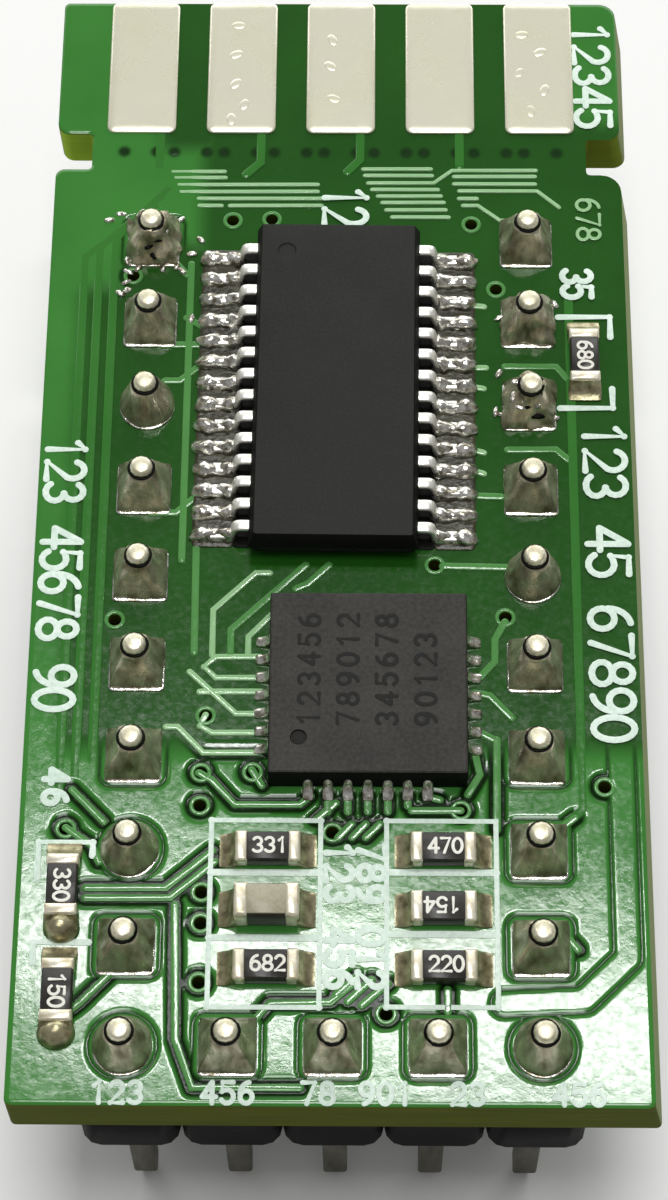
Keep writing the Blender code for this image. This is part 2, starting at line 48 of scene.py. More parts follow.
# %% [markdown]
# ## Places on the board
# The circuit was laid out from its pin grid, so every place below is given in millimetres from
# the middle pin of the front row: x to the right, y towards the contacts, z up from the bare board.
# Writing the layout in its own units keeps each list readable and close to a real drawing.

# %% Board coordinates
ARTWORK_X, FRONT_ROW_Y = -0.08, -14.71
BOARD_TOP, BOARD_BOTTOM = 10.28, 8.68
SEAT = 0.04
PIN_PITCH, SIDE_PINS = 2.54, 10
ROW_X = 2 * PIN_PITCH
CONTACT_PITCH, TOP_CONTACTS, LOW_CONTACTS = 2.77, 5, 4
QUARTER = math.pi / 2


def at(x, y, z=0.0):
    """A place on the board, in the frame's metres."""
    return Vector((x + ARTWORK_X, y + FRONT_ROW_Y, z + BOARD_TOP)) * MM


def pin_place(name):
    """x and y of a header pin, from its node's name."""
    _, row, number = name.split("_")
    if row == "front":
        return (int(number) - 2) * PIN_PITCH, 0.0
    return (-ROW_X if row == "left" else ROW_X), (SIDE_PINS - int(number)) * PIN_PITCH


def contact_row(count):
    """x of each contact in a row that is centred on the board."""
    return [(i - (count - 1) / 2) * CONTACT_PITCH for i in range(count)]


pin_names = sorted(n for n in nodes if n.startswith("pin_"))
print("pins:", len(pin_names), "upper contacts at x:", contact_row(TOP_CONTACTS))

# %% [markdown]
# ## Camera
# The photo looks down on the board from in front, about 26 degrees off the vertical, from only
# 8 cm away, so the front edge is clearly wider than the tab. The pin grid fixed the camera's place,
# tilt and lens. The near clip has to be small, because the whole object is only 32 mm long.

# %% Camera
def stand(name, data):
    """A new object in the scene, around its data."""
    obj = bpy.data.objects.new(name, data)
    bpy.context.scene.collection.objects.link(obj)
    return obj


camera = stand("camera", bpy.data.cameras.new("camera"))
camera.data.lens = 94.2
camera.data.sensor_width = 36.0
camera.data.clip_start = 0.002
camera.location = Vector((0.66, -38.45, 83.00)) * MM
camera.rotation_euler = Euler([math.radians(a) for a in (26.184, 0.402, 0.469)])
bpy.context.scene.camera = camera
print("camera lens:", camera.data.lens)

# %% [markdown]
# ## Colours and nodes
# Colours are written as sRGB hex, as a paint card gives them, and one function turns them to the
# linear values that Blender mixes. One small function adds a node with its settings and links, so
# a material or a shape reads in the order in which the real thing was made.

# %% Colour and node helpers
def linear(code):
    """Linear RGBA of an sRGB hex code."""
    channels = [int(code[i:i + 2], 16) / 255 for i in (0, 2, 4)]
    return [c / 12.92 if c <= 0.04045 else ((c + 0.055) / 1.055) ** 2.4 for c in channels] + [1.0]


def add(tree, kind, inputs=(), **settings):
    """Adds a node. Inputs go by name or in order: values, results, or nodes for their first result."""
    made = tree.nodes.new(kind)
    for key, value in settings.items():
        setattr(made, key, value)
    for key, value in inputs.items() if isinstance(inputs, dict) else enumerate(inputs):
        value = value.outputs[0] if isinstance(value, bpy.types.Node) else value
        if isinstance(value, bpy.types.NodeSocket):
            tree.links.new(value, made.inputs[key])
        else:
            made.inputs[key].default_value = value
    return made


def surface(name, **constants):
    """A new material, its tree and the object's own coordinates."""
    mat = bpy.data.materials.new(name)
    mat.use_nodes = True
    shader = mat.node_tree.nodes["Principled BSDF"]
    for key, value in constants.items():
        shader.inputs[key.replace("_", " ")].default_value = value
    return mat, mat.node_tree, add(mat.node_tree, "ShaderNodeTexCoord").outputs["Object"]


def dress(mat, **results):
    """Links results, or nodes for their first result, to the shader of a material."""
    shader = mat.node_tree.nodes["Principled BSDF"]
    for key, result in results.items():
        result = result.outputs[0] if isinstance(result, bpy.types.Node) else result
        mat.node_tree.links.new(result, shader.inputs[key.replace("_", " ")])
    return mat


def per_mm(size):
    """Scale of a pattern whose features are so many millimetres across."""
    return 1 / (size * MM)


print("solder mask green:", [round(c, 3) for c in linear("37702B")])

# %% [markdown]
# ## Light and floor
# The photo was taken under a bright ceiling window, which the glossy front of the board mirrors. A
# long lamp hangs where that mirror image needs it, a square one lights from above, a wide panel
# stands behind, and an even pale world does the rest. The floor is a plain white sheet.

# %% Light and floor
def lamp(name, size, power, place, aim, roll=0.0):
    """A rectangular lamp that shines from a place to an aim, both in metres, rolled by degrees."""
    data = bpy.data.lights.new(name, "AREA")
    data.shape = "RECTANGLE"
    data.size, data.size_y = size
    data.energy = power
    obj = stand(name, data)
    obj.location = place
    turn = (Vector(aim) - Vector(place)).to_track_quat("-Z", "Y")
    obj.rotation_euler = (turn @ Quaternion((0, 0, 1), math.radians(roll))).to_euler()


lamp("window_lamp", (0.13, 0.018), 0.36, (0.012, 0.1035, 0.3545), (0, 0, 0.01), -4)
lamp("top_lamp", (0.10, 0.10), 0.42, (0.0, -0.03, 0.370), (0, 0, 0.01))
lamp("back_panel", (0.70, 0.30), 1.5, (0.0, 0.36, 0.160), (0, 0, 0.08))

world = bpy.data.worlds.new("studio")
bpy.context.scene.world = world
world.use_nodes = True
world.node_tree.nodes["Background"].inputs["Color"].default_value = linear("FFFFFF")
world.node_tree.nodes["Background"].inputs["Strength"].default_value = 0.25

floor_mesh = bpy.data.meshes.new("floor")
floor_mesh.from_pydata([(-1, -1, 0), (1, -1, 0), (1, 1, 0), (-1, 1, 0)], [], [(0, 1, 2, 3)])
floor_mesh.materials.append(surface("floor_matt_white_sheet", Roughness=0.9, Base_Color=linear("F4F4F2"))[0])
floor = stand("floor", floor_mesh)

# %% [markdown]
# ## Finish of the painted board
# Solder mask is a clear green epoxy that is flooded over the etched copper and baked. It looks
# light where copper shines through, dark over bare laminate, and it stays glossy with a faint
# orange peel. In the gaps round tracks and pads and over the tented holes its green is darker
# still, a painted shade. The relief mesh carries a copper attribute, so one material shows both greens.

# %% Solder mask and laminate
def solder_mask(name, dark, light, on_relief=False):
    """Baked green mask: greens by what lies under it, painted shade in gaps and tents, orange peel, fine
    residue specks.
    """
    mat, tree, coords = surface(name, IOR=1.5, Specular_IOR_Level=0.4)
    mottle = add(tree, "ShaderNodeTexNoise", {"Vector": coords, "Scale": per_mm(3.0), "Detail": 3.0})
    green = add(tree, "ShaderNodeMix", {0: mottle, 6: linear(dark), 7: linear(light)},
                data_type="RGBA").outputs[2]
    if on_relief:
        copper, tented, bare = (add(tree, "ShaderNodeAttribute", attribute_name=key).outputs["Fac"]
                                for key in ("copper", "tented", "bare"))
        field = add(tree, "ShaderNodeMath", (copper, bare), operation="MAXIMUM")
        dress(mat, Specular_IOR_Level=add(tree, "ShaderNodeMapRange", (field, 0.0, 0.8, 0.06, 0.4)))
        # Mask over the bare gap round tracks and pads: near-black green, partly the laminate under it and
        # partly painted shade.
        gap_green_painted_shade = add(tree, "ShaderNodeMix", {0: copper, 6: linear("0B2206"), 7: green},
                     data_type="RGBA").outputs[2]
        clear = add(tree, "ShaderNodeMix", {0: mottle, 6: linear("18460F"), 7: linear("245A19")},
                    data_type="RGBA").outputs[2]
        etched = add(tree, "ShaderNodeMix", {0: bare, 6: gap_green_painted_shade, 7: clear}, data_type="RGBA").outputs[2]
        # Over the tented perforations the green turns near-black: painted shade of the hole under the thin
        # mask.
        green = add(tree, "ShaderNodeMix", {0: tented, 6: etched, 7: linear("0C2E06")},
                    data_type="RGBA").outputs[2]
    specks = add(tree, "ShaderNodeTexNoise", {"Vector": coords, "Scale": per_mm(0.14), "Detail": 3.0})
    waves = add(tree, "ShaderNodeTexNoise", {"Vector": coords, "Scale": per_mm(3.5), "Detail": 1.0})
    peel = add(tree, "ShaderNodeTexNoise", {"Vector": coords, "Scale": per_mm(0.5), "Detail": 4.0,
                                            "Roughness": 0.6})
    normal = add(tree, "ShaderNodeBump", {"Height": waves, "Strength": 1.0, "Distance": 0.013 * MM})
    for height, depth in ((peel, 0.0045), (specks, 0.0005)):
        normal = add(tree, "ShaderNodeBump", {"Height": height, "Strength": 1.0, "Distance": depth * MM,
                                              "Normal": normal})
    gloss = add(tree, "ShaderNodeMapRange", (specks, 0.35, 0.7, 0.09, 0.16))
    return dress(mat, Base_Color=green, Roughness=gloss, Normal=normal)


def cut_laminate(name, left, right):
    """Cut glass cloth in epoxy, in plies: two tones for the board's left side and two for its right."""
    mat, tree, coords = surface(name, Roughness=0.6, IOR=1.1)
    flattened = add(tree, "ShaderNodeMapping", {"Vector": coords, "Scale": (1.0, 1.0, 12.0)})
    plies = add(tree, "ShaderNodeTexNoise", {"Vector": flattened, "Scale": per_mm(2.2), "Detail": 6.0})
    across = add(tree, "ShaderNodeSeparateXYZ", {"Vector": coords})
    side = add(tree, "ShaderNodeMapRange", (across, -5 * MM, 5 * MM))
    left_tone, right_tone = (add(tree, "ShaderNodeMix", {0: plies, 6: linear(dark), 7: linear(light)},
                                 data_type="RGBA").outputs[2] for dark, light in (left, right))
    tone = add(tree, "ShaderNodeMix", {0: side, 6: left_tone, 7: right_tone}, data_type="RGBA").outputs[2]
    cloth = add(tree, "ShaderNodeBump", {"Height": plies, "Strength": 0.6, "Distance": 0.03 * MM})
    return dress(mat, Base_Color=tone, Normal=cloth)


mask_paint = solder_mask("solder_mask_baked_epoxy", "2F7028", "418637", on_relief=True)
track_paint = solder_mask("solder_mask_over_copper", "437E3B", "5C9853")
bus_paint = solder_mask("solder_mask_over_bus", "2D6A25", "3A7A30")
# Over the fine tracks the mask is painted pale: a painted glint along each line.
fine_paint_painted_glint = solder_mask("solder_mask_painted_glint_fine_copper", "7BAE72", "A6CC9C")
laminate = cut_laminate("laminate_glass_epoxy_routed", ("3A460C", "5C6014"), ("3A460C", "5C6014"))
scored_laminate = cut_laminate("laminate_scored_and_snapped", ("6E7A4A", "8A9668"), ("6E7A4A", "8A9668"))
# The slots' far walls: laminate painted lighter olive, brighter on the left, as painted light through the
# board.
slot_wall_painted_glow = cut_laminate("laminate_slot_wall_painted_glow", ("86AE1E", "A4C63E"), ("56680C", "74821A"))
print("board finishes:", mask_paint.name, laminate.name)

# %% [markdown]
# ## Finishes of the metal
# The tinned surfaces differ in how they were made. The contacts were dipped and levelled with hot
# air, so they are bright and gently wavy. Hand-made solder joints froze with a duller, grainy
# skin. Package leads are plated smooth. The header wire is drawn, with a matt plating painted
# near-black olive: painted shade of the pins under the board.

# %% Metals
def metal(name, dark, light, roughness, wave, depth, metallic=1.0, drawn=1.0):
    """A tinned metal: tone and gloss drift over a few tenths of a millimetre, over a wavy skin."""
    mat, tree, coords = surface(name, Metallic=metallic)
    coords = add(tree, "ShaderNodeMapping", {"Vector": coords, "Scale": (1.0, 1.0, drawn)})
    drift = add(tree, "ShaderNodeTexNoise", {"Vector": coords, "Scale": per_mm(wave), "Detail": 5.0})
    share = add(tree, "ShaderNodeMapRange", (drift, 0.3, 0.7))
    tint = add(tree, "ShaderNodeMix", {0: share, 6: linear(dark), 7: linear(light)},
               data_type="RGBA").outputs[2]
    gloss = add(tree, "ShaderNodeMapRange", (drift, 0.3, 0.7, roughness[1], roughness[0]))
    skin = add(tree, "ShaderNodeTexNoise", {"Vector": coords, "Scale": per_mm(wave * 0.4), "Detail": 4.0})
    wavy = add(tree, "ShaderNodeBump", {"Height": skin, "Strength": 0.8, "Distance": depth * MM})
    return dress(mat, Base_Color=tint, Roughness=gloss, Normal=wavy)


levelled_tin = metal("tin_hot_air_levelled", "D4D2B8", "F0EED8", (0.22, 0.3), 1.4, 0.005, 0.55)
# The joints' tone drifts at random and is stretched upright: real grain, with lighter streaks that are
# painted glints down the tents.
joint_solder = metal("solder_hand_soldered", "686249", "D0CAB0", (0.22, 0.4), 0.34, 0.02, 0.6, 0.4)
# Reflowed solder drifts at random from brown to near-white; beyond its own tone, the contrast is painted
# glints and painted shade.
solder_painted_glint_and_shade = metal("solder_reflowed_painted_glint_and_shade", "6E6650", "FFFEF8", (0.12, 0.24), 0.18, 0.01, 0.85)
chip_solder = metal("solder_chip_fillet", "605A3E", "BCB592", (0.24, 0.4), 0.25, 0.012, 0.7)
plated_lead = metal("lead_tin_plated", "E4E2D8", "FFFEF8", (0.3, 0.42), 0.25, 0.004, 0.7)
chip_cap = metal("chip_cap_plated", "C9BF9F", "FBF6E4", (0.28, 0.42), 0.3, 0.008, 0.6)
wire_tip = metal("header_wire_cut_end", "C4BEA0", "ECE8D0", (0.3, 0.42), 0.2, 0.01, 0.6)
# The drawn wire is painted near-black olive: painted shade of the pins under the board.
drawn_wire_painted_shade = metal("header_wire_drawn_painted_shade", "2C280F", "4A4426", (0.32, 0.48), 0.5, 0.006, 0.8, 0.3)
print("metals:", levelled_tin.name, joint_solder.name, drawn_wire_painted_shade.name)

# %% [markdown]
# ## Finishes of the packages, chips, plastic and ink
# The packages are black epoxy, pressed in a spark-eroded mould that leaves an even fine grain.
# The resistors have a glassy black coat over white ceramic, the capacitor is bare beige ceramic,
# and the header strips are glass-filled nylon. The ink is a flat white epoxy pressed through a screen.

# %% Plastics, ceramics and ink
def moulded(name, dark, light, roughness, grain, depth, ior):
    """A moulded or fired surface: small drift in tone over a fine even grain."""
    mat, tree, coords = surface(name, IOR=ior)
    drift = add(tree, "ShaderNodeTexNoise", {"Vector": coords, "Scale": per_mm(1.6), "Detail": 5.0})
    grit = add(tree, "ShaderNodeTexNoise", {"Vector": coords, "Scale": per_mm(grain), "Detail": 2.0})
    both = add(tree, "ShaderNodeMath", (drift, grit), operation="ADD")
    share = add(tree, "ShaderNodeMapRange", (both, 0.7, 1.3))
    tint = add(tree, "ShaderNodeMix", {0: share, 6: linear(dark), 7: linear(light)},
               data_type="RGBA").outputs[2]
    gloss = add(tree, "ShaderNodeMapRange", (drift, 0.0, 1.0, roughness - 0.08, roughness + 0.08))
    grainy = add(tree, "ShaderNodeBump", {"Height": grit, "Strength": 0.8, "Distance": depth * MM})
    return dress(mat, Base_Color=tint, Roughness=gloss, Normal=grainy)


driver_epoxy = moulded("package_epoxy_fine_black", "1E1F1C", "292A26", 0.55, 0.07, 0.006, 1.25)
# Walls of the packages take a darker copy of the epoxy: painted shade.
epoxy_walls_painted_shade = moulded("package_epoxy_side_painted_shade", "0A0A09", "131312", 0.6, 0.09, 0.008, 1.2)
bridge_epoxy = moulded("package_epoxy_grained_grey", "2B2A27", "403F3B", 0.55, 0.11, 0.012, 1.25)
laser_mark = moulded("package_epoxy_laser_marked", "0E0D0C", "1A1917", 0.6, 0.05, 0.006, 1.3)
header_nylon = moulded("header_nylon_glass_filled", "050505", "0B0B0C", 0.5, 0.09, 0.008, 1.08)
resistor_glaze = moulded("resistor_glaze_black", "1F1E1B", "34322D", 0.34, 0.08, 0.005, 1.45)
capacitor_ceramic = moulded("capacitor_ceramic_beige", "8F8A70", "A7A289", 0.42, 0.08, 0.004, 1.6)
# The capacitor's sides are painted near-black brown: painted shade on its walls.
capacitor_side_painted_shade = moulded("capacitor_ceramic_side_painted_shade", "1C1813", "2C261E", 0.45, 0.08, 0.004, 1.6)
code_ink = moulded("resistor_code_glass_white", "D8D6CA", "F2F0E6", 0.45, 0.06, 0.002, 1.5)
screen_ink = moulded("legend_ink_screen_printed", "C6DCCB", "E6F6EA", 0.55, 0.1, 0.006, 1.5)
# A dark olive film, laid between the driver's feet.
olive_film = moulded("film_dark_olive", "1E1D10", "3C3A22", 0.3, 0.12, 0.02, 1.45)
# Near-black painted shade, for creases, craters and the gap under the driver's sides.
near_black_painted_shade = moulded("painted_shade_near_black", "060604", "0C0C08", 0.5, 0.1, 0.01, 1.2)
print("finishes in all:", len(bpy.data.materials))

# %% [markdown]
# ## Skins from outlines
# Most parts are stacks of outlines, joined into a closed skin: a wire, a header block, a solder
# cone. They could be pushed and pulled by hand, but a list of levels is easier to read and to
# change. So a few helpers build such stacks, and every later cell only says what is special.

# %% Skins from outlines
def plain(points, edges=(), faces=()):
    """A mesh straight from lists."""
    mesh = bpy.data.meshes.new("mesh")
    mesh.from_pydata([tuple(p) for p in points], edges, faces)
    return mesh


def softened(mesh, sharp):
    """Smooth shading, but for edges sharper than so many degrees."""
    mesh.shade_smooth()
    mesh.set_sharp_from_angle(angle=math.radians(sharp))
    return mesh


def mesh_of(points, faces, finish=None, sharp=40):
    """A mesh from points in metres, welded, outward and softened."""
    mesh = plain(points, faces=faces)
    bm = bmesh.new()
    bm.from_mesh(mesh)
    bmesh.ops.remove_doubles(bm, verts=bm.verts, dist=1e-8)
    bmesh.ops.recalc_face_normals(bm, faces=bm.faces)
    bm.to_mesh(mesh)
    bm.free()
    if finish:
        mesh.materials.append(finish)
    return softened(mesh, sharp)


def stack(rings, close=False):
    """Points and faces of a skin over rings of equal count: capped at both ends, or closed on itself."""
    count, levels = len(rings[0]), len(rings)
    points = [p for one in rings for p in one]
    faces = []
    for level in range(levels if close else levels - 1):
        low, high = level * count, (level + 1) % levels * count
        faces += [(low + i, low + (i + 1) % count, high + (i + 1) % count, high + i) for i in range(count)]
    if not close:
        faces += [tuple(reversed(range(count))), tuple(range((levels - 1) * count, levels * count))]
    return points, faces


def stacked(levels):
    """Rings in metres, from (outline, height) levels in millimetres."""
    return [[Vector((x, y, z)) * MM for x, y in shape] for shape, z in levels]


def solid(levels, sharp=40, finish=None, close=False):
    """A closed skin over (outline, height) levels in millimetres."""
    return mesh_of(*stack(stacked(levels), close), finish, sharp)


def together(parts):
    """Joins several (points, faces) into one."""
    points, faces = [], []
    for some_points, some_faces in parts:
        start = len(points)
        points += some_points
        faces += [tuple(i + start for i in face) for face in some_faces]
    return points, faces


def outline(width, length, corner, steps=4):
    """A rectangle with rounded corners about the origin, in millimetres, anticlockwise."""
    points = []
    for i in range(4):
        centre_x = (width / 2 - corner) * (1 if i in (0, 3) else -1)
        centre_y = (length / 2 - corner) * (1 if i in (0, 1) else -1)
        for k in range(steps + 1):
            turn = (i + k / steps) * QUARTER
            points.append((centre_x + corner * math.cos(turn), centre_y + corner * math.sin(turn)))
    return points


def disc(x, y, radius, steps):
    """Points of a circle, in millimetres."""
    turns = [2 * math.pi * i / steps for i in range(steps)]
    return [(x + radius * math.cos(t), y + radius * math.sin(t)) for t in turns]


print("an outline with soft corners has", len(outline(2.5, 2.54, 0.5)), "points")

# %% [markdown]
# ## Finished pieces and node trees
# Each finished piece rides on the board's body and hides the CAD nodes it stands for. What repeats
# or follows a path is made by Geometry Nodes. Their result is turned into a plain mesh at once,
# because the export drops instances and the later cells want real faces to work on.

# %% Finished pieces and node trees
def applied(obj):
    """The plain mesh of an object with its modifiers. The object goes."""
    bpy.context.view_layer.update()
    mesh = bpy.data.meshes.new_from_object(obj.evaluated_get(bpy.context.evaluated_depsgraph_get()))
    bpy.data.objects.remove(obj)
    return mesh


def show(name, mesh, replaced=()):
    """Puts a finished mesh in the scene, on the board's body."""
    obj = stand(name, mesh)
    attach(obj, "root")
    if replaced:
        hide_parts(*replaced)
    print(name, len(mesh.polygons), "faces")


def new_tree(name, **inputs):
    """A Geometry Nodes tree with named inputs. Returns the tree and its inputs."""
    group = bpy.data.node_groups.new(name, "GeometryNodeTree")
    kinds = {float: "Float", int: "Int", str: "Object", tuple: "Vector"}
    wanted = [("Geometry", "Geometry")] + [(title, kinds[kind]) for title, kind in inputs.items()]
    for title, kind in wanted + [("Finish", "Material")]:
        group.interface.new_socket(title.replace("_", " "), in_out="INPUT", socket_type=f"NodeSocket{kind}")
    group.interface.new_socket("Geometry", in_out="OUTPUT", socket_type="NodeSocketGeometry")
    return group, add(group, "NodeGroupInput").outputs


def close_tree(tree, geometry, given):
    """Ends a tree: real geometry in place of instances, and the finish on it."""
    real = add(tree, "GeometryNodeRealizeInstances", {"Geometry": geometry})
    painted = add(tree, "GeometryNodeSetMaterial", {"Geometry": real, "Material": given["Finish"]})
    add(tree, "NodeGroupOutput", (painted,))


def grow(tree, base, finish, sharp=40, **inputs):
    """Runs a tree on a mesh and returns the result as a plain mesh, freed of the tree."""
    holder = stand("grown", base)
    modifier = holder.modifiers.new("grown", "NODES")
    modifier.node_group = tree
    sockets = {s.name: s.identifier for s in tree.interface.items_tree if s.in_out == "INPUT"}
    for title, value in {**inputs, "Finish": finish}.items():
        modifier[sockets[title.replace("_", " ")]] = value
    holder.update_tag()
    return softened(applied(holder), sharp)


# %% [markdown]
# ## The copper layout
# The etched layout is a list of lines, as a board drawing keeps it. Fine lines above the driver
# are 0.12 mm wide, the others 0.2 mm, and one supply track down the right side is 0.5 mm.
# The lines are data of the object, so they stay numbers; everything built from them follows.

# %% Copper layout
FINE_TRACKS = (
    ((-4.66, 25.19), (-3.19, 25.2)), ((-4.57, 24.99), (-3.16, 25.0)), ((-4.48, 24.76), (-0.61, 24.78)),
    ((-4.42, 24.53), (-0.61, 24.55)), ((-3.91, 24.31), (-0.47, 24.32)), ((-3.88, 24.08), (-3.25, 24.08)),
    ((-3.03, 24.08), (-0.5, 24.09)), ((0.63, 25.29), (2.51, 25.3)), ((0.68, 25.08), (2.54, 25.08)),
    ((0.77, 24.83), (2.59, 24.84), (3.09, 25.25), (5.41, 25.26)), ((0.88, 24.62), (2.7, 24.62)),
    ((1.04, 24.4), (2.78, 24.41)), ((1.16, 24.19), (2.86, 24.2)), ((1.27, 23.95), (2.91, 23.96)),
    ((1.43, 23.72), (2.99, 23.72)), ((3.14, 25.05), (5.38, 25.06)), ((3.14, 24.81), (5.38, 24.81)),
    ((3.28, 24.58), (5.43, 24.58), (6.02, 24.05)), ((3.27, 24.33), (3.77, 24.33)),
    ((3.38, 24.1), (3.79, 24.1), (4.39, 23.62), (4.8, 23.62)),
)
LEFT_BUS = tuple(((x, 6.6 + 0.42 * i), (x, 22.4 + 0.3 * i), (x + 1.9 - 0.25 * i, 24.1 + 0.28 * i))
                 for i, x in enumerate((-6.93, -6.54, -6.12)))
BUS_TRACKS = LEFT_BUS + (
    ((6.2, 21.09), (6.2, 6.2), (5.72, 5.77)), ((-5.0, 26.4), (-5.0, 25.3)),
    ((-2.2, 26.4), (-2.2, 25.5), (-2.6, 25.1)), ((0.55, 26.4), (0.55, 25.6), (0.2, 25.2)),
    ((3.3, 26.4), (3.3, 25.4)),
)
TRACKS = (
    # to the driver's pads
    ((-4.81, 19.63), (-3.6, 19.64)), ((-4.64, 18.52), (-4.24, 18.52), (-3.64, 19.05)),
    ((-4.11, 20.48), (-3.67, 20.2)), ((-4.9, 14.53), (-4.22, 14.53), (-3.81, 14.92), (-3.3, 15.37)),
    ((-4.49, 22.26), (-4.15, 21.85)), ((3.54, 20.9), (3.92, 20.86)), ((3.52, 18.95), (3.95, 18.95)),
    ((3.51, 18.37), (3.88, 18.31)), ((3.49, 16.45), (3.86, 16.36)), ((3.48, 15.85), (3.85, 15.73)),
    ((3.48, 15.07), (4.31, 15.04)), ((4.46, 18.99), (5.82, 18.99), (6.13, 18.59)),
    ((4.49, 16.45), (5.76, 16.46), (6.07, 16.16)), ((2.75, 13.0), (4.62, 12.96)),
    # between the packages
    ((-3.66, 13.5), (-3.63, 10.5)), ((-3.17, 10.43), (-3.17, 11.71), (-2.09, 12.78), (-1.73, 12.78)),
    ((-2.7, 10.43), (-2.7, 11.14), (-0.8, 13.02)), ((-2.25, 10.43), (-2.25, 10.94), (-1.66, 11.58)),
    ((-1.05, 12.33), (-0.74, 12.47), (-0.2, 13.02)), ((-4.03, 22.2), (-4.03, 13.15)),
    # bridge, left side
    ((-1.9, 10.38), (-3.07, 10.37), (-3.37, 10.09), (-3.06, 9.78), (-1.88, 9.79)),
    ((-3.46, 9.39), (-1.88, 9.4)), ((-3.73, 9.95), (-2.53, 8.78), (-1.87, 8.78)),
    ((-3.29, 8.75), (-3.43, 8.44), (-3.12, 8.25), (-1.86, 8.26)),
    ((-4.29, 8.41), (-3.99, 8.41), (-3.33, 7.7), (-1.85, 7.71)),
    ((-3.42, 7.15), (-3.09, 6.96), (-2.5, 6.29), (-0.87, 6.3), (-0.6, 6.54)),
    ((-2.09, 7.24), (-1.83, 6.81)), ((-0.47, 5.89), (0.03, 6.35)),
    # bridge, front and right sides
    ((-0.17, 6.52), (-0.17, 6.11)), ((0.33, 6.52), (0.33, 6.11)), ((0.83, 6.52), (0.83, 6.12)),
    ((1.33, 6.52), (1.33, 6.12)), ((1.83, 6.53), (1.83, 6.28)), ((3.15, 6.16), (1.93, 6.15)),
    ((2.31, 6.53), (2.63, 6.45)), ((3.52, 9.39), (3.92, 9.31), (4.47, 8.7)), ((3.5, 8.37), (4.01, 8.09)),
    ((4.34, 11.4), (4.07, 10.89), (4.06, 10.27), (3.62, 9.76)), ((4.08, 8.09), (4.05, 5.65)),
    ((3.5, 7.82), (3.64, 7.13), (3.33, 6.59)),
    # lower left
    ((-6.15, 4.05), (-4.15, 4.06), (-3.02, 5.05)), ((-6.14, 3.79), (-4.04, 3.8), (-2.96, 4.76)),
    ((-6.59, 6.67), (-5.76, 5.81)), ((-5.45, 1.82), (-6.15, 1.07), (-6.61, 0.69)),
    ((-3.92, 3.62), (-3.81, 0.15), (-3.37, -1.05), (-0.77, -1.03)),
    ((-1.84, 0.72), (-1.53, 1.1), (-0.07, 1.11), (0.46, 1.57)),
    ((-6.7, 5.65), (-6.03, 5.17), (-5.84, 4.74)),
    # middle column
    ((0.07, 1.31), (0.55, 1.75)), ((0.36, 1.14), (0.94, 1.7)), ((0.7, 1.04), (1.33, 1.6)),
    ((0.09, 5.41), (0.43, 5.79)), ((0.44, 5.42), (0.78, 5.79)), ((0.78, 5.42), (1.13, 5.79)),
    ((2.79, 1.46), (2.79, 0.9)),
    # right side
    ((5.77, 2.76), (5.98, 2.5)), ((6.0, 5.98), (5.66, 5.71)),
)
UNDER_TRACKS = (
    ((-2.93, 23.59), (-2.93, 9.08), (-3.29, 8.72)), ((-1.86, 23.63), (-1.86, 7.38), (-2.07, 7.17)),
    ((3.6, 23.48), (3.6, 14.0), (2.54, 13.02)), ((4.25, 21.4), (4.0, 21.1), (4.0, 11.9), (4.35, 11.52)),
    ((-3.37, 7.15), (-3.85, 6.6), (-3.85, 4.5), (-3.27, 3.95)),
    ((-3.37, 6.26), (-0.8, 6.26), (-0.05, 5.55)), ((3.15, 6.16), (3.15, 2.7), (1.29, 0.83)),
    ((6.76, 6.81), (6.76, 22.2), (4.6, 24.6), (4.16, 26.7)),
    ((-3.27, 3.14), (-1.0, 3.14), (1.2, 5.3), (1.2, 10.8), (0.1, 11.9), (0.1, 23.6), (-1.39, 25.1),
     (-1.39, 26.7)),
    ((-3.28, 1.61), (-0.4, 1.61), (2.2, 4.2), (2.2, 11.2), (1.39, 12.1), (1.39, 26.7)),
    ((-6.7, 5.62), (-6.7, 21.6), (-4.16, 24.9), (-4.16, 26.7)),
    ((-5.6, 21.8), (-6.25, 21.1), (-6.25, 12.0), (-5.7, 11.41)),
)
SUPPLY_TRACK = ((7.2, 24.6), (7.2, 2.3), (6.1, 1.22), (4.17, 1.11))
VIAS = (
    (-2.93, 23.59), (-1.86, 23.63), (3.6, 23.48), (-5.6, 21.8), (4.25, 21.4), (-5.7, 11.41), (2.54, 13.02),
    (4.35, 11.52), (-3.29, 8.72), (-2.07, 7.17), (-3.37, 7.15), (-3.37, 6.26), (3.15, 6.16), (6.76, 6.81),
    (-0.05, 5.55), (-6.7, 5.62), (-3.27, 3.95), (-3.27, 3.14), (-3.28, 1.61), (1.29, 0.83),
)
ROUND_PADS = ("pin_left_03", "pin_left_08", "pin_left_10", "pin_right_05", "pin_right_10")
PERFORATIONS = tuple((x / 2 + side * 0.45, 25.84) for x in contact_row(9) for side in (-1, 1))
print("tracks:", len(FINE_TRACKS) + len(TRACKS) + 1, "vias:", len(VIAS), "perforations:", len(PERFORATIONS))

# %% [markdown]
# ## The painted relief
# Copper 0.035 mm thick lifts the paint wherever it was left: over the flood of copper that fills
# the board, but not in the gap around each track and pad. Geometry Nodes make this from the layout
# itself. A fine grid measures its distance to the nearest line and rises by a smooth step where
# the flood begins. The same tree trims the grid to the board's outline and its holes, by moving
# the points of the cells that cross an edge onto that edge.

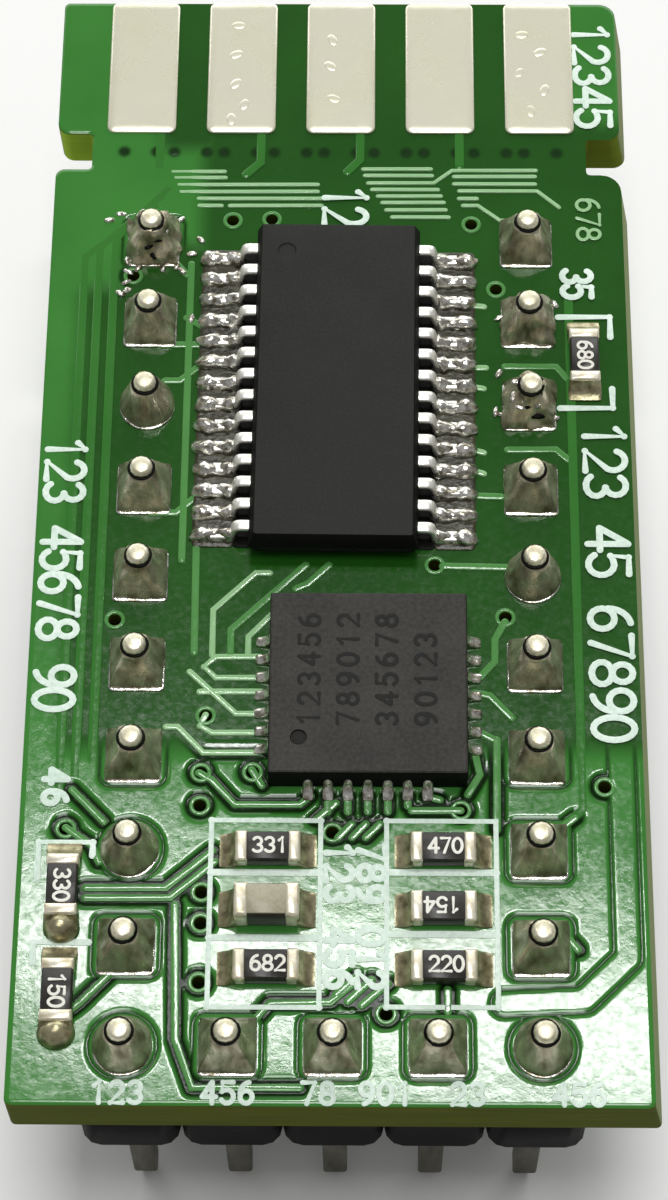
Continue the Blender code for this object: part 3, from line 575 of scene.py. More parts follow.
# %% The relief tree
relief, given = new_tree("painted_relief", Size_X=float, Size_Y=float, Cells_X=int, Cells_Y=int,
                         Middle=tuple, Cell=float, Lift=float, Gap=float, Slope=float,
                         Layout=str, Raised=str, Bare=str, Tents=str, Openings=str, Edges=str)
grid = add(relief, "GeometryNodeMeshGrid", {"Size X": given["Size X"], "Size Y": given["Size Y"],
                                            "Vertices X": given["Cells X"], "Vertices Y": given["Cells Y"]})
sheet = add(relief, "GeometryNodeTransform", {"Geometry": grid, "Translation": given["Middle"]})
away = {}
for title, element in (("Layout", "FACES"), ("Raised", "FACES"), ("Bare", "FACES"),
                       ("Tents", "POINTS"), ("Openings", "FACES"), ("Edges", "EDGES")):
    source = add(relief, "GeometryNodeObjectInfo", {"Object": given[title]}).outputs["Geometry"]
    found = add(relief, "GeometryNodeProximity", (source,), target_element=element).outputs
    away[title] = found["Distance"]
nearest_edge = found["Position"]

soft_step = {"interpolation_type": "SMOOTHSTEP"}
flood_start = add(relief, "ShaderNodeMath", (given["Gap"], given["Slope"]), operation="ADD")
flood = add(relief, "ShaderNodeMapRange", (away["Layout"], given["Gap"], flood_start), **soft_step)
raised = add(relief, "ShaderNodeMapRange", (away["Raised"], 0.0, given["Slope"], 1.0, 0.0), **soft_step)
shares = {
    "copper": add(relief, "ShaderNodeMath", (flood, raised), operation="MAXIMUM"),
    "bare": add(relief, "ShaderNodeMapRange", (away["Bare"], 0.0, 0.8 * MM, 1.0, 0.0), **soft_step),
    "tented": add(relief, "ShaderNodeMapRange", (away["Tents"], 0.1 * MM, 0.24 * MM, 1.0, 0.0), **soft_step)}
for title, share in shares.items():
    sheet = add(relief, "GeometryNodeStoreNamedAttribute",
                {"Geometry": sheet, "Name": title, "Value": share}, data_type="FLOAT", domain="POINT")

inside = add(relief, "FunctionNodeCompare", (away["Openings"], 2e-6), data_type="FLOAT",
             operation="LESS_EQUAL")
reach = add(relief, "ShaderNodeMath", (given["Cell"], 1.45), operation="MULTIPLY")
close_by = add(relief, "FunctionNodeCompare", (away["Edges"], reach), data_type="FLOAT",
               operation="LESS_THAN")
crossing = add(relief, "FunctionNodeBooleanMath", (inside, close_by), operation="AND")
whole_face = add(relief, "GeometryNodeFieldOnDomain", (inside,), data_type="FLOAT", domain="FACE")
cut_away = add(relief, "FunctionNodeCompare", (whole_face, 0.99), data_type="FLOAT",
               operation="GREATER_THAN")
kept = add(relief, "GeometryNodeDeleteGeometry", {"Geometry": sheet, "Selection": cut_away}, domain="FACE")
trimmed = add(relief, "GeometryNodeSetPosition", {"Geometry": kept, "Selection": crossing,
                                                  "Position": nearest_edge})

copper, bare_share = (add(relief, "GeometryNodeInputNamedAttribute", {"Name": title}, data_type="FLOAT")
                      for title in ("copper", "bare"))
painted_share = add(relief, "ShaderNodeMath", (1.0, bare_share), operation="SUBTRACT")
lift = add(relief, "ShaderNodeMath", (painted_share, given["Lift"]), operation="MULTIPLY")
rolled = add(relief, "ShaderNodeMapRange", (away["Edges"], 0.0, 0.07 * MM), **soft_step)
height = copper
for factor in (lift, rolled):
    height = add(relief, "ShaderNodeMath", (height, factor), operation="MULTIPLY")
sunk = add(relief, "ShaderNodeMapRange", (away["Tents"], 0.05 * MM, 0.14 * MM, 1.0, 0.0), **soft_step)
sag = add(relief, "ShaderNodeMath", (sunk, -0.008 * MM, height), operation="MULTIPLY_ADD")
upward = add(relief, "ShaderNodeCombineXYZ", {"Z": sag})
close_tree(relief, add(relief, "GeometryNodeSetPosition", {"Geometry": trimmed, "Offset": upward}), given)
print("relief tree nodes:", len(relief.nodes))

# %% [markdown]
# ## Flat shapes
# The tree needs the layout as flat shapes: a ribbon for each track, a disc for each via and pad.
# It also needs the board's outline with its two slots, which was cut a little wider below than
# above. Plain faces do for this, because the tree only measures how far away they are.

# %% Flat shapes
TAB_NEAR, TAB_FAR, CONTACT_HALF = 26.3, 31.0, 0.96
BOARD_LEFT, BOARD_RIGHT, BOARD_FRONT, BOARD_FAR = -7.87, 7.75, -1.49, 30.91
SCORED_LEAN = 0.28
SLOT_INNER_LEFT, SLOT_INNER_RIGHT = -6.88, 6.80
SLOT_NEAR_LEFT, SLOT_NEAR_RIGHT = 25.27, 25.12
SLOT_FAR_LEFT, SLOT_FAR_RIGHT = 26.42, 26.28


def flat(points):
    """One flat face on the board."""
    return [at(x, y) for x, y in points], [tuple(range(len(points)))]


def ribbon(line, half):
    """Flat faces along a line: a rectangle for each stretch and a disc at each corner."""
    parts = []
    for (x0, y0), (x1, y1) in zip(line, line[1:]):
        length = math.hypot(x1 - x0, y1 - y0)
        u, v = -(y1 - y0) / length * half, (x1 - x0) / length * half
        parts.append(flat([(x0 + u, y0 + v), (x0 - u, y0 - v), (x1 - u, y1 - v), (x1 + u, y1 + v)]))
    return parts + [flat(disc(x, y, half, 12)) for x, y in line]


def rectangle(x0, y0, x1, y1):
    """Corners of an upright rectangle."""
    return [(x0, y0), (x1, y0), (x1, y1), (x0, y1)]


def bare_tab(count):
    """The bare laminate between a row of contacts."""
    row = contact_row(count)
    return [flat(rectangle(a + CONTACT_HALF, TAB_NEAR, b - CONTACT_HALF, TAB_FAR))
            for a, b in zip(row, row[1:])]


def board_outline(depth, steps=6):
    """The outline with both slots, in board millimetres, at a depth of 0 (top face) to 1 (underside)."""
    left, right = BOARD_LEFT, BOARD_RIGHT + SCORED_LEAN * depth
    left_far, right_far = SLOT_FAR_LEFT + 0.22 * depth, SLOT_FAR_RIGHT + 0.16 * depth
    corners = ((left, BOARD_FRONT, 0.15), (right, BOARD_FRONT, 0.15), (right, SLOT_NEAR_RIGHT, 0.55),
               (SLOT_INNER_RIGHT, SLOT_NEAR_RIGHT, 0.12), (SLOT_INNER_RIGHT, right_far, 0.12),
               (right, right_far, 0.35), (right, BOARD_FAR, 0.45), (left, BOARD_FAR, 0.15),
               (left, left_far, 0.35), (SLOT_INNER_LEFT, left_far, 0.12),
               (SLOT_INNER_LEFT, SLOT_NEAR_LEFT, 0.12), (left, SLOT_NEAR_LEFT, 0.25))
    points = []
    for i, (x, y, radius) in enumerate(corners):
        here = Vector((x, y))
        back = (Vector(corners[i - 1][:2]) - here).normalized()
        ahead = (Vector(corners[(i + 1) % len(corners)][:2]) - here).normalized()
        centre = here + (back + ahead) * radius
        start = math.atan2(-ahead.y, -ahead.x)
        bend = math.copysign(QUARTER, back.y * ahead.x - back.x * ahead.y)
        turns = [start + bend * k / steps for k in range(steps + 1)]
        points += [(centre.x + radius * math.cos(t), centre.y + radius * math.sin(t)) for t in turns]
    return points


print("points round the board:", len(board_outline(0.0)))

# %% [markdown]
# ## What the relief reads
# Three sheets of flat faces tell the tree where copper is: the layout with a gap round it, the pads
# that stand as high as the flood, and the laminate that was left bare. Cut from the same lists as
# the tracks themselves, they can't drift apart from them.

# %% Sheets for the relief
DRIVER, DRIVER_TURN = (-0.05, 18.04), math.radians(-0.5)
LEADS_A_SIDE, LEAD_PITCH = 14, 0.65
LEAD_ROW = [(i - (LEADS_A_SIDE - 1) / 2) * LEAD_PITCH for i in range(LEADS_A_SIDE)]
LEAD_PAD_INNER, LEAD_PAD_OUTER, LEAD_PAD_HALF = 2.6, 3.75, 0.18
PIN_PAD, PIN_PAD_CORNER, VIA_PAD = 1.5, 0.2, 0.27
pin_pads = []
for x, y, is_round in [(*pin_place(name), name in ROUND_PADS) for name in pin_names]:
    square = [(x + u, y + v) for u, v in outline(PIN_PAD, PIN_PAD, PIN_PAD_CORNER)]
    pin_pads.append(flat(disc(x, y, PIN_PAD / 2, 32) if is_round else square))
via_pads = [flat(disc(x, y, VIA_PAD, 20)) for x, y in VIAS]
driver_pads = [flat(rectangle(side * LEAD_PAD_INNER, DRIVER[1] + y - LEAD_PAD_HALF,
                              side * LEAD_PAD_OUTER, DRIVER[1] + y + LEAD_PAD_HALF))
               for side in (-1, 1) for y in LEAD_ROW]
supply = ribbon(SUPPLY_TRACK, 0.25)
upper_lines = [part for line in TRACKS for part in ribbon(line, 0.1)]
lower_lines = [part for line in UNDER_TRACKS for part in ribbon(line, 0.12)]
unflooded = [flat(rectangle(-5.4, 8.2, 8.3, 22.4)), flat(rectangle(-6.6, 8.2, -5.3, 21.0)),
             flat(rectangle(-3.4, 22.3, 8.3, 26.4))]
top_sheets = {"Layout": pin_pads + via_pads + driver_pads + supply + upper_lines,
              "Raised": pin_pads + driver_pads + supply, "Bare": bare_tab(TOP_CONTACTS) + unflooded}
low_sheets = {"Layout": pin_pads + via_pads + lower_lines, "Raised": pin_pads,
              "Bare": bare_tab(LOW_CONTACTS)}
print("layout faces:", len(top_sheets["Layout"]), "raised faces:", len(top_sheets["Raised"]))

# %% [markdown]
# ## The painted skin
# On the real board the paint stops at the routed edge and at each via. The tree trims its grid with
# a band of faces just outside the outline and with a loop of edges. The upper face is painted in
# three lengths, so that no single mesh grows too heavy, and the underside is a mirrored sheet.

# %% Painted skins
MASK_LOW = 0.004
COPPER_LIFT, COPPER_GAP, COPPER_SLOPE = 0.033, 0.08, 0.11
SHEET_X, SHEET_Y, SHEET_WIDTH, SHEET_LENGTH = -7.93, -1.56, 15.75, 32.55
BAND, VIA_HOLE = 0.5, 0.17
SLOT_MOUTHS = ((-8.4, 25.5, -7.1, 26.2), (7.02, 25.35, 8.4, 26.05))


def trimming(depth):
    """What trims the paint: faces outside the outline and in the vias, and the loops of their edges."""
    loop = board_outline(depth)
    wider = []
    for i, (x, y) in enumerate(loop):
        (x0, y0), (x1, y1) = loop[i - 1], loop[(i + 1) % len(loop)]
        length = math.hypot(x1 - x0, y1 - y0) / BAND
        wider.append((x + (y1 - y0) / length, y - (x1 - x0) / length))
    ends = [(i, (i + 1) % len(loop)) for i in range(len(loop))]
    outside = [flat([loop[i], loop[j], wider[j], wider[i]]) for i, j in ends]
    outside += [flat(rectangle(*mouth)) for mouth in SLOT_MOUTHS]
    holes = [disc(x, y, VIA_HOLE, 20) for x, y in VIAS]
    points, pairs = [], []
    for ring in [loop] + holes:
        start, count = len(points), len(ring)
        points += [at(x, y) for x, y in ring]
        pairs += [(start + i, start + (i + 1) % count) for i in range(count)]
    return outside + [flat(hole) for hole in holes], plain(points, edges=pairs)


def painted_skins(cell, lengths, depth, sheets):
    """The painted face of the board in so many lengths, from its front edge to its far one."""
    outside, edges = trimming(depth)
    read = {"Tents": plain([at(x, y) for x, y in PERFORATIONS]), "Edges": edges}
    for title, shapes in {**sheets, "Openings": outside}.items():
        points, faces = together(shapes)
        read[title] = plain(points, faces=faces)
    read = {title: stand(title, mesh) for title, mesh in read.items()}
    columns, rows = math.ceil(SHEET_WIDTH / cell), math.ceil(SHEET_LENGTH / cell / lengths)
    skins = []
    for part in range(lengths):
        middle = at(SHEET_X + columns * cell / 2, SHEET_Y + (part + 0.5) * rows * cell)
        skin = grow(relief, plain([]), mask_paint, 70, Size_X=columns * cell * MM, Size_Y=rows * cell * MM,
                    Cells_X=columns + 1, Cells_Y=rows + 1, Middle=middle, Cell=cell * MM,
                    Lift=COPPER_LIFT * MM, Gap=COPPER_GAP * MM, Slope=COPPER_SLOPE * MM, **read)
        skin.transform(Matrix.Translation((0, 0, MASK_LOW * MM)))
        skins.append(skin)
    for obj in read.values():
        bpy.data.objects.remove(obj)
    return skins


def turned_under(mesh):
    """Mirrors a mesh made for the top face onto the underside."""
    mesh.transform(Matrix.Diagonal((1, 1, -1, 1)))
    mesh.transform(Matrix.Translation((0, 0, (BOARD_TOP + BOARD_BOTTOM) * MM)))
    mesh.flip_normals()
    return mesh


FINE_CELL, COARSE_CELL = 0.05, 0.08
TOP_LENGTHS = ("front", "middle", "tab")
top_skins = painted_skins(FINE_CELL, len(TOP_LENGTHS), 0.0, top_sheets)
for part, skin in zip(TOP_LENGTHS, top_skins):
    show(f"solder_mask_{part}", skin)
for skin in painted_skins(COARSE_CELL, 1, 1.0, low_sheets):
    show("solder_mask_underside", turned_under(skin))

# %% [markdown]
# ## The laminate
# The board itself is glass cloth in epoxy, 1.6 mm thick. It was routed on three sides and scored and
# snapped on the right, so that edge leans. The slots' far walls face the viewer, and their laminate
# is painted a lighter olive, brighter on the left: painted light shining through the board. The body
# is a stack of the outline, bored at each hole.

# %% Laminate
def carved(mesh, tool_mesh):
    """A body with a tool's shape cut out of it."""
    body, tool = stand("body", mesh), stand("tool", tool_mesh)
    cut = body.modifiers.new("cut", "BOOLEAN")
    cut.object = tool
    cut.solver = "EXACT"
    made = applied(body)
    bpy.data.objects.remove(tool)
    return softened(made, 25)


levels = ((1.0, BOARD_BOTTOM - BOARD_TOP), (0.0, 0.0))
board = mesh_of(*stack([[at(x, y, z) for x, y in board_outline(depth)] for depth, z in levels]))
bores = together([stack([[at(u, v, z) for u, v in disc(x, y, radius, 20)] for z in (-2.0, 0.4)])
                  for places, radius in ((VIAS, 0.165), (PERFORATIONS, 0.15)) for x, y in places])
board = carved(board, mesh_of(*bores))
for finish in (laminate, slot_wall_painted_glow, scored_laminate):
    board.materials.append(finish)
slot_far_y, scored_x = at(0, 26.2).y, 7.0 * MM
# Faces of the slots' far walls take the painted light; the scored right edge takes its own laminate.
for face in board.polygons:
    if face.normal.y < -0.4 and face.center.y > slot_far_y:
        face.material_index = 1
    elif face.normal.x > 0.9 and face.center.x > scored_x:
        face.material_index = 2
show("laminate", board, ["pcb"])

# %% [markdown]
# ## Tracks and via rims
# Each track is a low ridge with rounded shoulders under the paint, which is what catches the light
# as a thin bright line. A small tree sweeps one rounded bar along any set of lines, and the same bar
# swept round a circle gives the rim of a via.

# %% Track and rim trees
def rounded_bar(tree, given, path):
    """A curve set upright, and the rounded bar to sweep along it."""
    upright = add(tree, "GeometryNodeSetCurveNormal", {"Curve": path}, mode="Z_UP")
    size = {"Width": given["Width"], "Height": given["Height"]}
    bar = add(tree, "GeometryNodeCurvePrimitiveQuadrilateral", size)
    soft = add(tree, "GeometryNodeFilletCurve", {"Curve": bar, "Radius": given["Shoulder"], "Count": 3},
               mode="POLY")
    return {"Curve": upright, "Profile Curve": soft}


track_tree, given = new_tree("swept_track", Width=float, Height=float, Shoulder=float)
path = add(track_tree, "GeometryNodeMeshToCurve", {"Mesh": given["Geometry"]})
bar_on_path = {**rounded_bar(track_tree, given, path), "Fill Caps": True}
swept = add(track_tree, "GeometryNodeCurveToMesh", bar_on_path)
half_width = add(track_tree, "ShaderNodeMath", (given["Width"], 0.5), operation="MULTIPLY")
half_height = add(track_tree, "ShaderNodeMath", (given["Height"], 0.485), operation="MULTIPLY")
bead_size = add(track_tree, "ShaderNodeCombineXYZ", (half_width, half_width, half_height))
bead = add(track_tree, "GeometryNodeMeshUVSphere", {"Segments": 14, "Rings": 6, "Radius": 1.0})
beads = add(track_tree, "GeometryNodeInstanceOnPoints", {"Points": given["Geometry"], "Instance": bead,
                                                         "Scale": bead_size})
joined = add(track_tree, "GeometryNodeJoinGeometry", (swept,))
track_tree.links.new(beads.outputs[0], joined.inputs[0])
close_tree(track_tree, joined, given)

rim_tree, given = new_tree("drilled_rim", Middle_Radius=float, Width=float, Height=float, Shoulder=float)
round_path = {"Resolution": 28, "Radius": given["Middle Radius"]}
circle = add(rim_tree, "GeometryNodeCurvePrimitiveCircle", round_path)
rim = add(rim_tree, "GeometryNodeCurveToMesh", rounded_bar(rim_tree, given, circle))
rims = add(rim_tree, "GeometryNodeInstanceOnPoints", {"Points": given["Geometry"], "Instance": rim})
close_tree(rim_tree, rims, given)
print("track tree nodes:", len(track_tree.nodes), "rim tree nodes:", len(rim_tree.nodes))

# %% [markdown]
# ## Tracks on both faces
# The etched lines differ in width and in how bright the paint over them looks: the bus along the
# left edge is broad and dark, and the fine lines by the packages are painted pale, a painted glint
# along each. One function sweeps any of them, and the print on the board is swept with it later.

# %% Tracks
LINE_LIFT, LIFT_CYCLE = 0.0003, 61


def sweep(lines, z, finish, width, height, shoulder):
    """A bar swept along lines of board places. Each line lies a hair above the one before."""
    points, edges = [], []
    for i, line in enumerate(lines):
        start = len(points)
        closed = len(line) > 3 and math.dist(line[0], line[-1]) < 1e-6
        points += [at(x, y, z + i % LIFT_CYCLE * LINE_LIFT) for x, y in (line[:-1] if closed else line)]
        edges += [(k, k + 1) for k in range(start, len(points) - 1)] + [(len(points) - 1, start)] * closed
    return grow(track_tree, plain(points, edges), finish, Width=width * MM, Height=height * MM,
                Shoulder=shoulder * MM)


TRACK_Z, TRACK_HEIGHT = MASK_LOW + 0.002, 0.064
by_bridge = [t for t in TRACKS if all(-4.7 < x < -1.4 and 7.4 < y < 13.2 for x, y in t)
             or all(3.4 < x < 4.0 and y > 14 for x, y in t)]
for name, lines, width, paint in (("tracks", [t for t in TRACKS if t not in by_bridge], 0.2, track_paint),
                                  ("tracks_by_bridge", by_bridge, 0.17, fine_paint_painted_glint),
                                  ("bus_tracks", BUS_TRACKS, 0.26, bus_paint),
                                  ("fine_tracks", FINE_TRACKS, 0.12, fine_paint_painted_glint)):
    show(name, sweep(lines, TRACK_Z, paint, width, TRACK_HEIGHT, 0.028))
via_points = plain([at(x, y, TRACK_Z) for x, y in VIAS])
via_rims = grow(rim_tree, via_points, track_paint, Middle_Radius=0.22 * MM, Width=0.11 * MM,
                Height=0.074 * MM, Shoulder=0.034 * MM)
show("via_rims", via_rims)
under_tracks = sweep(UNDER_TRACKS, TRACK_Z, track_paint, 0.24, TRACK_HEIGHT, 0.03)
show("tracks_underside", turned_under(under_tracks))
show("via_rims_underside", turned_under(via_rims.copy()))

# %% [markdown]
# ## Setting parts on places
# Leads, joints, contacts and header blocks repeat, but no two real ones are alike. So one tree sets
# a part on every place, turned as the place says, and lets one noise field with a fixed seed push
# the skin of them all. Copies made by hand would be stiffer and slower to change.

# %% The scatter tree
scatter, given = new_tree("set_on_points", Part=str, Unevenness=float, Wave=float, Seed=float)
part = add(scatter, "GeometryNodeObjectInfo", {"Object": given["Part"]}).outputs["Geometry"]
spin = add(scatter, "GeometryNodeInputNamedAttribute", {"Name": "spin"}, data_type="FLOAT")
turned = add(scatter, "ShaderNodeCombineXYZ", {"Z": spin})
copies = add(scatter, "GeometryNodeInstanceOnPoints", {"Points": given["Geometry"], "Instance": part,
                                                       "Rotation": turned})
real = add(scatter, "GeometryNodeRealizeInstances", {"Geometry": copies})
fineness = add(scatter, "ShaderNodeMath", (1.0, given["Wave"]), operation="DIVIDE")
field = add(scatter, "ShaderNodeTexNoise", {
    "Vector": add(scatter, "GeometryNodeInputPosition"), "W": given["Seed"], "Detail": 2.0,
    "Scale": fineness}, noise_dimensions="4D")
centred = add(scatter, "ShaderNodeMath", (field, 0.5), operation="SUBTRACT")
push = add(scatter, "ShaderNodeMath", (centred, given["Unevenness"]), operation="MULTIPLY")
outward = add(scatter, "GeometryNodeInputNormal")
offset = add(scatter, "ShaderNodeVectorMath", {0: outward, "Scale": push}, operation="SCALE")
close_tree(scatter, add(scatter, "GeometryNodeSetPosition", {"Geometry": real, "Offset": offset}), given)


def spread(name, mesh, places, spins, finish, uneven=0.0, wave=1.0, seed=0, sharp=40, replaced=()):
    """Shows a part on many places, turned by spins in radians, with its skin pushed about by noise."""
    source = stand("source", mesh)
    points = plain(places)
    points.attributes.new("spin", "FLOAT", "POINT").data.foreach_set("value", [float(s) for s in spins])
    made = grow(scatter, points, finish, sharp, Part=source, Unevenness=uneven * MM, Wave=wave * MM,
                Seed=float(seed))
    bpy.data.objects.remove(source)
    show(name, made, replaced)


print("scatter tree nodes:", len(scatter.nodes))

# %% [markdown]
# ## Edge contacts
# The tab carries tinned copper contacts, five above and four below between them. Hot air levelling
# leaves the tin thickest in the middle and thin at the rim, with shallow waves, so each contact is a
# fine sheet with a pillowed top, and a few low bumps stay where drops of tin froze.

# %% Contacts
def pillow(width, length, thick, corner, columns, rows):
    """A flat pad whose top sinks to its rim, with rounded corners and a lattice of points on top."""
    rim = ((0.0, 0.0), (0.0, 0.6), (0.02, 0.85), (0.06, 1.0))
    levels = [(outline(width - 2 * inset, length - 2 * inset, max(corner - inset, 0.02)), thick * share)
              for inset, share in rim]
    points, faces = stack(stacked(levels))
    faces.pop()
    inner_width, inner_length = width - 0.12 - 2 * corner, length - 0.12 - 2 * corner
    start, row = len(points), columns + 1
    points += [Vector(((i / columns - 0.5) * inner_width, (j / rows - 0.5) * inner_length,
                       thick * 1.02)) * MM for j in range(rows + 1) for i in range(row)]
    corners = [start + j * row + i for j in range(rows) for i in range(columns)]
    faces += [(k, k + 1, k + row + 1, k + row) for k in corners]
    mesh = plain(points, faces=faces)
    bm = bmesh.new()
    bm.from_mesh(mesh)
    bmesh.ops.bridge_loops(bm, edges=[e for e in bm.edges if e.is_boundary])
    bmesh.ops.recalc_face_normals(bm, faces=bm.faces)
    bm.to_mesh(mesh)
    bm.free()
    return mesh


def dome(reach_x, reach_y, height, turns, base=0.0, steps=20):
    """Levels of a round heap, at turns from its foot (0) to its top (a quarter turn)."""
    return [([(reach_x * u * math.cos(t), reach_y * v * math.cos(t)) for u, v in disc(0, 0, 1, steps)],
             base + height * math.sin(t)) for t in turns]


CONTACT_WIDTH, CONTACT_LENGTH, CONTACT_Y, CONTACT_SEAT = 1.91, 4.43, 28.675, 0.02


def contacts(side, mesh, count, z, seed):
    """The row of contacts on one face of the tab."""
    places = [at(x, CONTACT_Y, z) for x in contact_row(count)]
    spread(f"contacts_{side}", mesh, places, [0] * count, levelled_tin, 0.03, 0.9, seed,
           replaced=[f"edge_contact_{side}_{i + 1}" for i in range(count)])


pad_mesh = pillow(CONTACT_WIDTH, CONTACT_LENGTH, 0.07, 0.2, 8, 20)
contacts("top", pad_mesh, TOP_CONTACTS, CONTACT_SEAT, 3)
BUMPS = [(-2.9, 30.1), (-2.95, 29.1), (-2.95, 28.1), (-2.7, 27.4), (-3.05, 26.9), (-0.25, 29.6),
         (-0.3, 28.7), (-0.2, 27.6), (5.1, 29.8), (5.6, 29.2), (5.0, 28.5), (5.7, 27.9), (5.3, 27.2)]
bump = solid(dome(0.20, 0.13, 0.014, [QUARTER * k / 6 for k in range(6)]))
spread("contact_bumps", bump, [at(x, y, 0.088) for x, y in BUMPS], [0.4 * i for i in range(len(BUMPS))],
       levelled_tin)
low_mesh = pad_mesh.copy()
low_mesh.transform(Matrix.Rotation(math.pi, 4, "Y"))
contacts("bottom", low_mesh, LOW_CONTACTS, BOARD_BOTTOM - BOARD_TOP - CONTACT_SEAT, 5)

# %% [markdown]
# ## Header strips
# A breakaway header is a row of equal eight-sided blocks of nylon. Real strips are moulded in one
# go, but each block is the same, so one block with softened edges and a square bore is made once
# and Geometry Nodes set it along the strip.

# %% Header strips
def header_block(low=6.10, high=8.64, width=2.5, groove=0.5, soft=0.12):
    """One block of a strip about its pin, with its bore, as levels that close on themselves."""
    wide, narrow = (outline(width - 2 * inset, PIN_PITCH - 0.8 * inset, groove, 3) for inset in (0, soft))
    bore, mouth = (outline(size, size, 0.08, 3) for size in (0.72, 0.86))
    return solid(((narrow, low), (wide, low + soft), (wide, high - soft), (narrow, high),
                  (mouth, high), (bore, high - 0.08), (bore, low + 0.08), (mouth, low)), close=True)


block = header_block()
side_row = [i * PIN_PITCH for i in range(SIDE_PINS)]
for side, places, turn in (("left", [(-ROW_X, y) for y in side_row], 0.0),
                           ("right", [(ROW_X, y) for y in side_row], 0.0),
                           ("front", [(i * PIN_PITCH, 0.0) for i in (-1, 0, 1)], QUARTER)):
    spread(f"header_strip_{side}", block, [at(x, y, -BOARD_TOP) for x, y in places], [turn] * len(places),
           header_nylon, sharp=30, replaced=[f"header_{side}"])

# %% [markdown]
# ## Header pins
# The pins are square wire, 0.64 mm across, cut with a blunt end. The tails taper so that they find
# their socket. Each pin is a stack of square outlines with softened corners, and its cut top gets a
# brighter finish than the drawn sides, which are painted near-black as painted shade.

# %% Header pins
WIRE = [(outline(size, size, corner, 3), z) for size, z, corner in (
    (0.22, 0.0, 0.04), (0.34, 0.05, 0.06), (0.64, 0.56, 0.08), (0.64, 8.7, 0.08), (0.64, 11.2, 0.12),
    (0.60, 11.36, 0.22), (0.59, 11.50, 0.27), (0.56, 11.57, 0.27), (0.50, 11.615, 0.245),
    (0.38, 11.64, 0.18))]
wires = together([stack([[at(*pin_place(name), -BOARD_TOP) + p for p in ring] for ring in stacked(WIRE)])
                  for name in pin_names])
wire_mesh = mesh_of(*wires, drawn_wire_painted_shade, sharp=35)
wire_mesh.materials.append(wire_tip)
CUT_END = 11.45
for face in wire_mesh.polygons:
    if face.center.z > CUT_END * MM:
        face.material_index = 1
show("header_pins", wire_mesh, pin_names)

# %% [markdown]
# ## Solder on the pins
# Each pin was soldered by hand: the solder wets a square or round pad and climbs the wire in a
# tent with soft edges. The tent is a stack of outlines that change from the pad's shape to the
# wire's. Geometry Nodes set one on every pin, and the noise field gives each its own skin.

# %% Solder tents
def tent(pad, squareness, steps=40):
    """A solder tent about its pin: corners drawn out over a square pad, sides hollow, and up the wire."""
    profile = ((1.0, 0.036, 1.0), (1.0, 0.085, 1.0), (0.985, 0.14, 1.0), (0.95, 0.23, 0.96),
               (0.88, 0.36, 0.88), (0.79, 0.54, 0.75), (0.69, 0.74, 0.6), (0.60, 0.92, 0.5),
               (0.54, 1.04, 0.4), (0.50, 1.12, 0.3), (0.46, 1.14, 0.2))
    levels = []
    for share, z, drawn in profile:
        ring = []
        for u, v in disc(0, 0, 1, steps):
            to_side = max(abs(u), abs(v))
            square = 1 / to_side ** 0.93
            hollow = 1 - 0.06 * math.sin(math.pi * min(max(z - 0.1, 0) / 1.1, 1)) * to_side ** 8
            reach = pad / 2 * share * (1 + (square * hollow - 1) * squareness * drawn)
            ring.append((reach * u, reach * v))
        levels.append((ring, z))
    return solid(levels, sharp=60)


ROUGH_JOINTS = ("pin_left_01", "pin_right_02", "pin_right_03")
square_names = [n for n in pin_names if n not in ROUND_PADS]
neat = [n for n in square_names if n not in ROUGH_JOINTS]
for name, names, mesh, uneven, wave, seed in (
        ("solder_square_pads", neat, tent(1.40, 1.0), 0.14, 0.5, 11),
        ("solder_rough_joints", ROUGH_JOINTS, tent(1.42, 1.0, 72), 0.55, 0.42, 15),
        ("solder_round_pads", ROUND_PADS, tent(1.46, 0.0), 0.14, 0.5, 12)):
    quarter_turns = [QUARTER * (i * 7 % 4) for i in range(len(names))]
    spread(name, mesh, [at(*pin_place(n)) for n in names], quarter_turns, joint_solder,
           uneven, wave, seed, 60)

# %% [markdown]
# ## Painted shade, flecks and pad rims
# A thin near-black ring, a painted shade, lies in the crease where the solder meets the wire, and
# the pad's tinned rim shows around the tent. Splashes of solder lie about the rough joints, on the
# board and on the tents themselves, and near-black blobs there are painted shade in their craters.
# They are set one by one, because the real ones follow no rule.

# %% Painted shade, flecks and pad rims
def scaled(shape, levels):
    """An outline taken through levels of (share, height)."""
    return [([(x * share, y * share) for x, y in shape], z) for share, z in levels]


# The ring is painted shade in the crease between tent and wire.
crease_shade_ring = scaled(disc(0, 0, 1, 24), ((0.34, 1.08), (0.365, 1.145), (0.35, 1.17), (0.30, 1.185),
                                       (0.26, 1.15)))
spread("flux_rings", solid(crease_shade_ring, sharp=60), [at(*pin_place(n)) for n in pin_names],
       [0.3 * i for i in range(len(pin_names))], near_black_painted_shade, 0.05, 0.3, 17, 60)

BOARD_FLECKS = (
    (-5.99, 23.77), (-4.36, 23.59), (-5.78, 22.27), (-5.73, 21.91), (-5.79, 21.59), (-4.43, 22.14),
    (-4.28, 21.96), (-4.02, 22.5), (-5.47, 22.04), (-4.82, 22.04), (-5.93, 21.23), (-5.75, 21.32),
    (-3.97, 20.44), (-3.8, 22.95), (-6.33, 23.58), (4.29, 18.76), (4.56, 18.33), (4.36, 17.49),
    (4.32, 20.49), (4.18, 17.59), (5.82, 20.93), (5.74, 17.4))
TENT_FLECKS = ((-5.42, 23.35, 0.75), (-5.3, 23.24, 0.9), (-4.86, 23.22, 0.9), (-4.72, 23.1, 0.85),
               (-5.46, 23.05, 0.7), (-4.74, 22.78, 0.8), (4.72, 18.03, 0.85), (4.98, 18.15, 0.85),
               (5.34, 17.72, 0.85), (4.79, 17.29, 0.8), (5.32, 17.39, 0.8), (4.62, 17.62, 0.8))
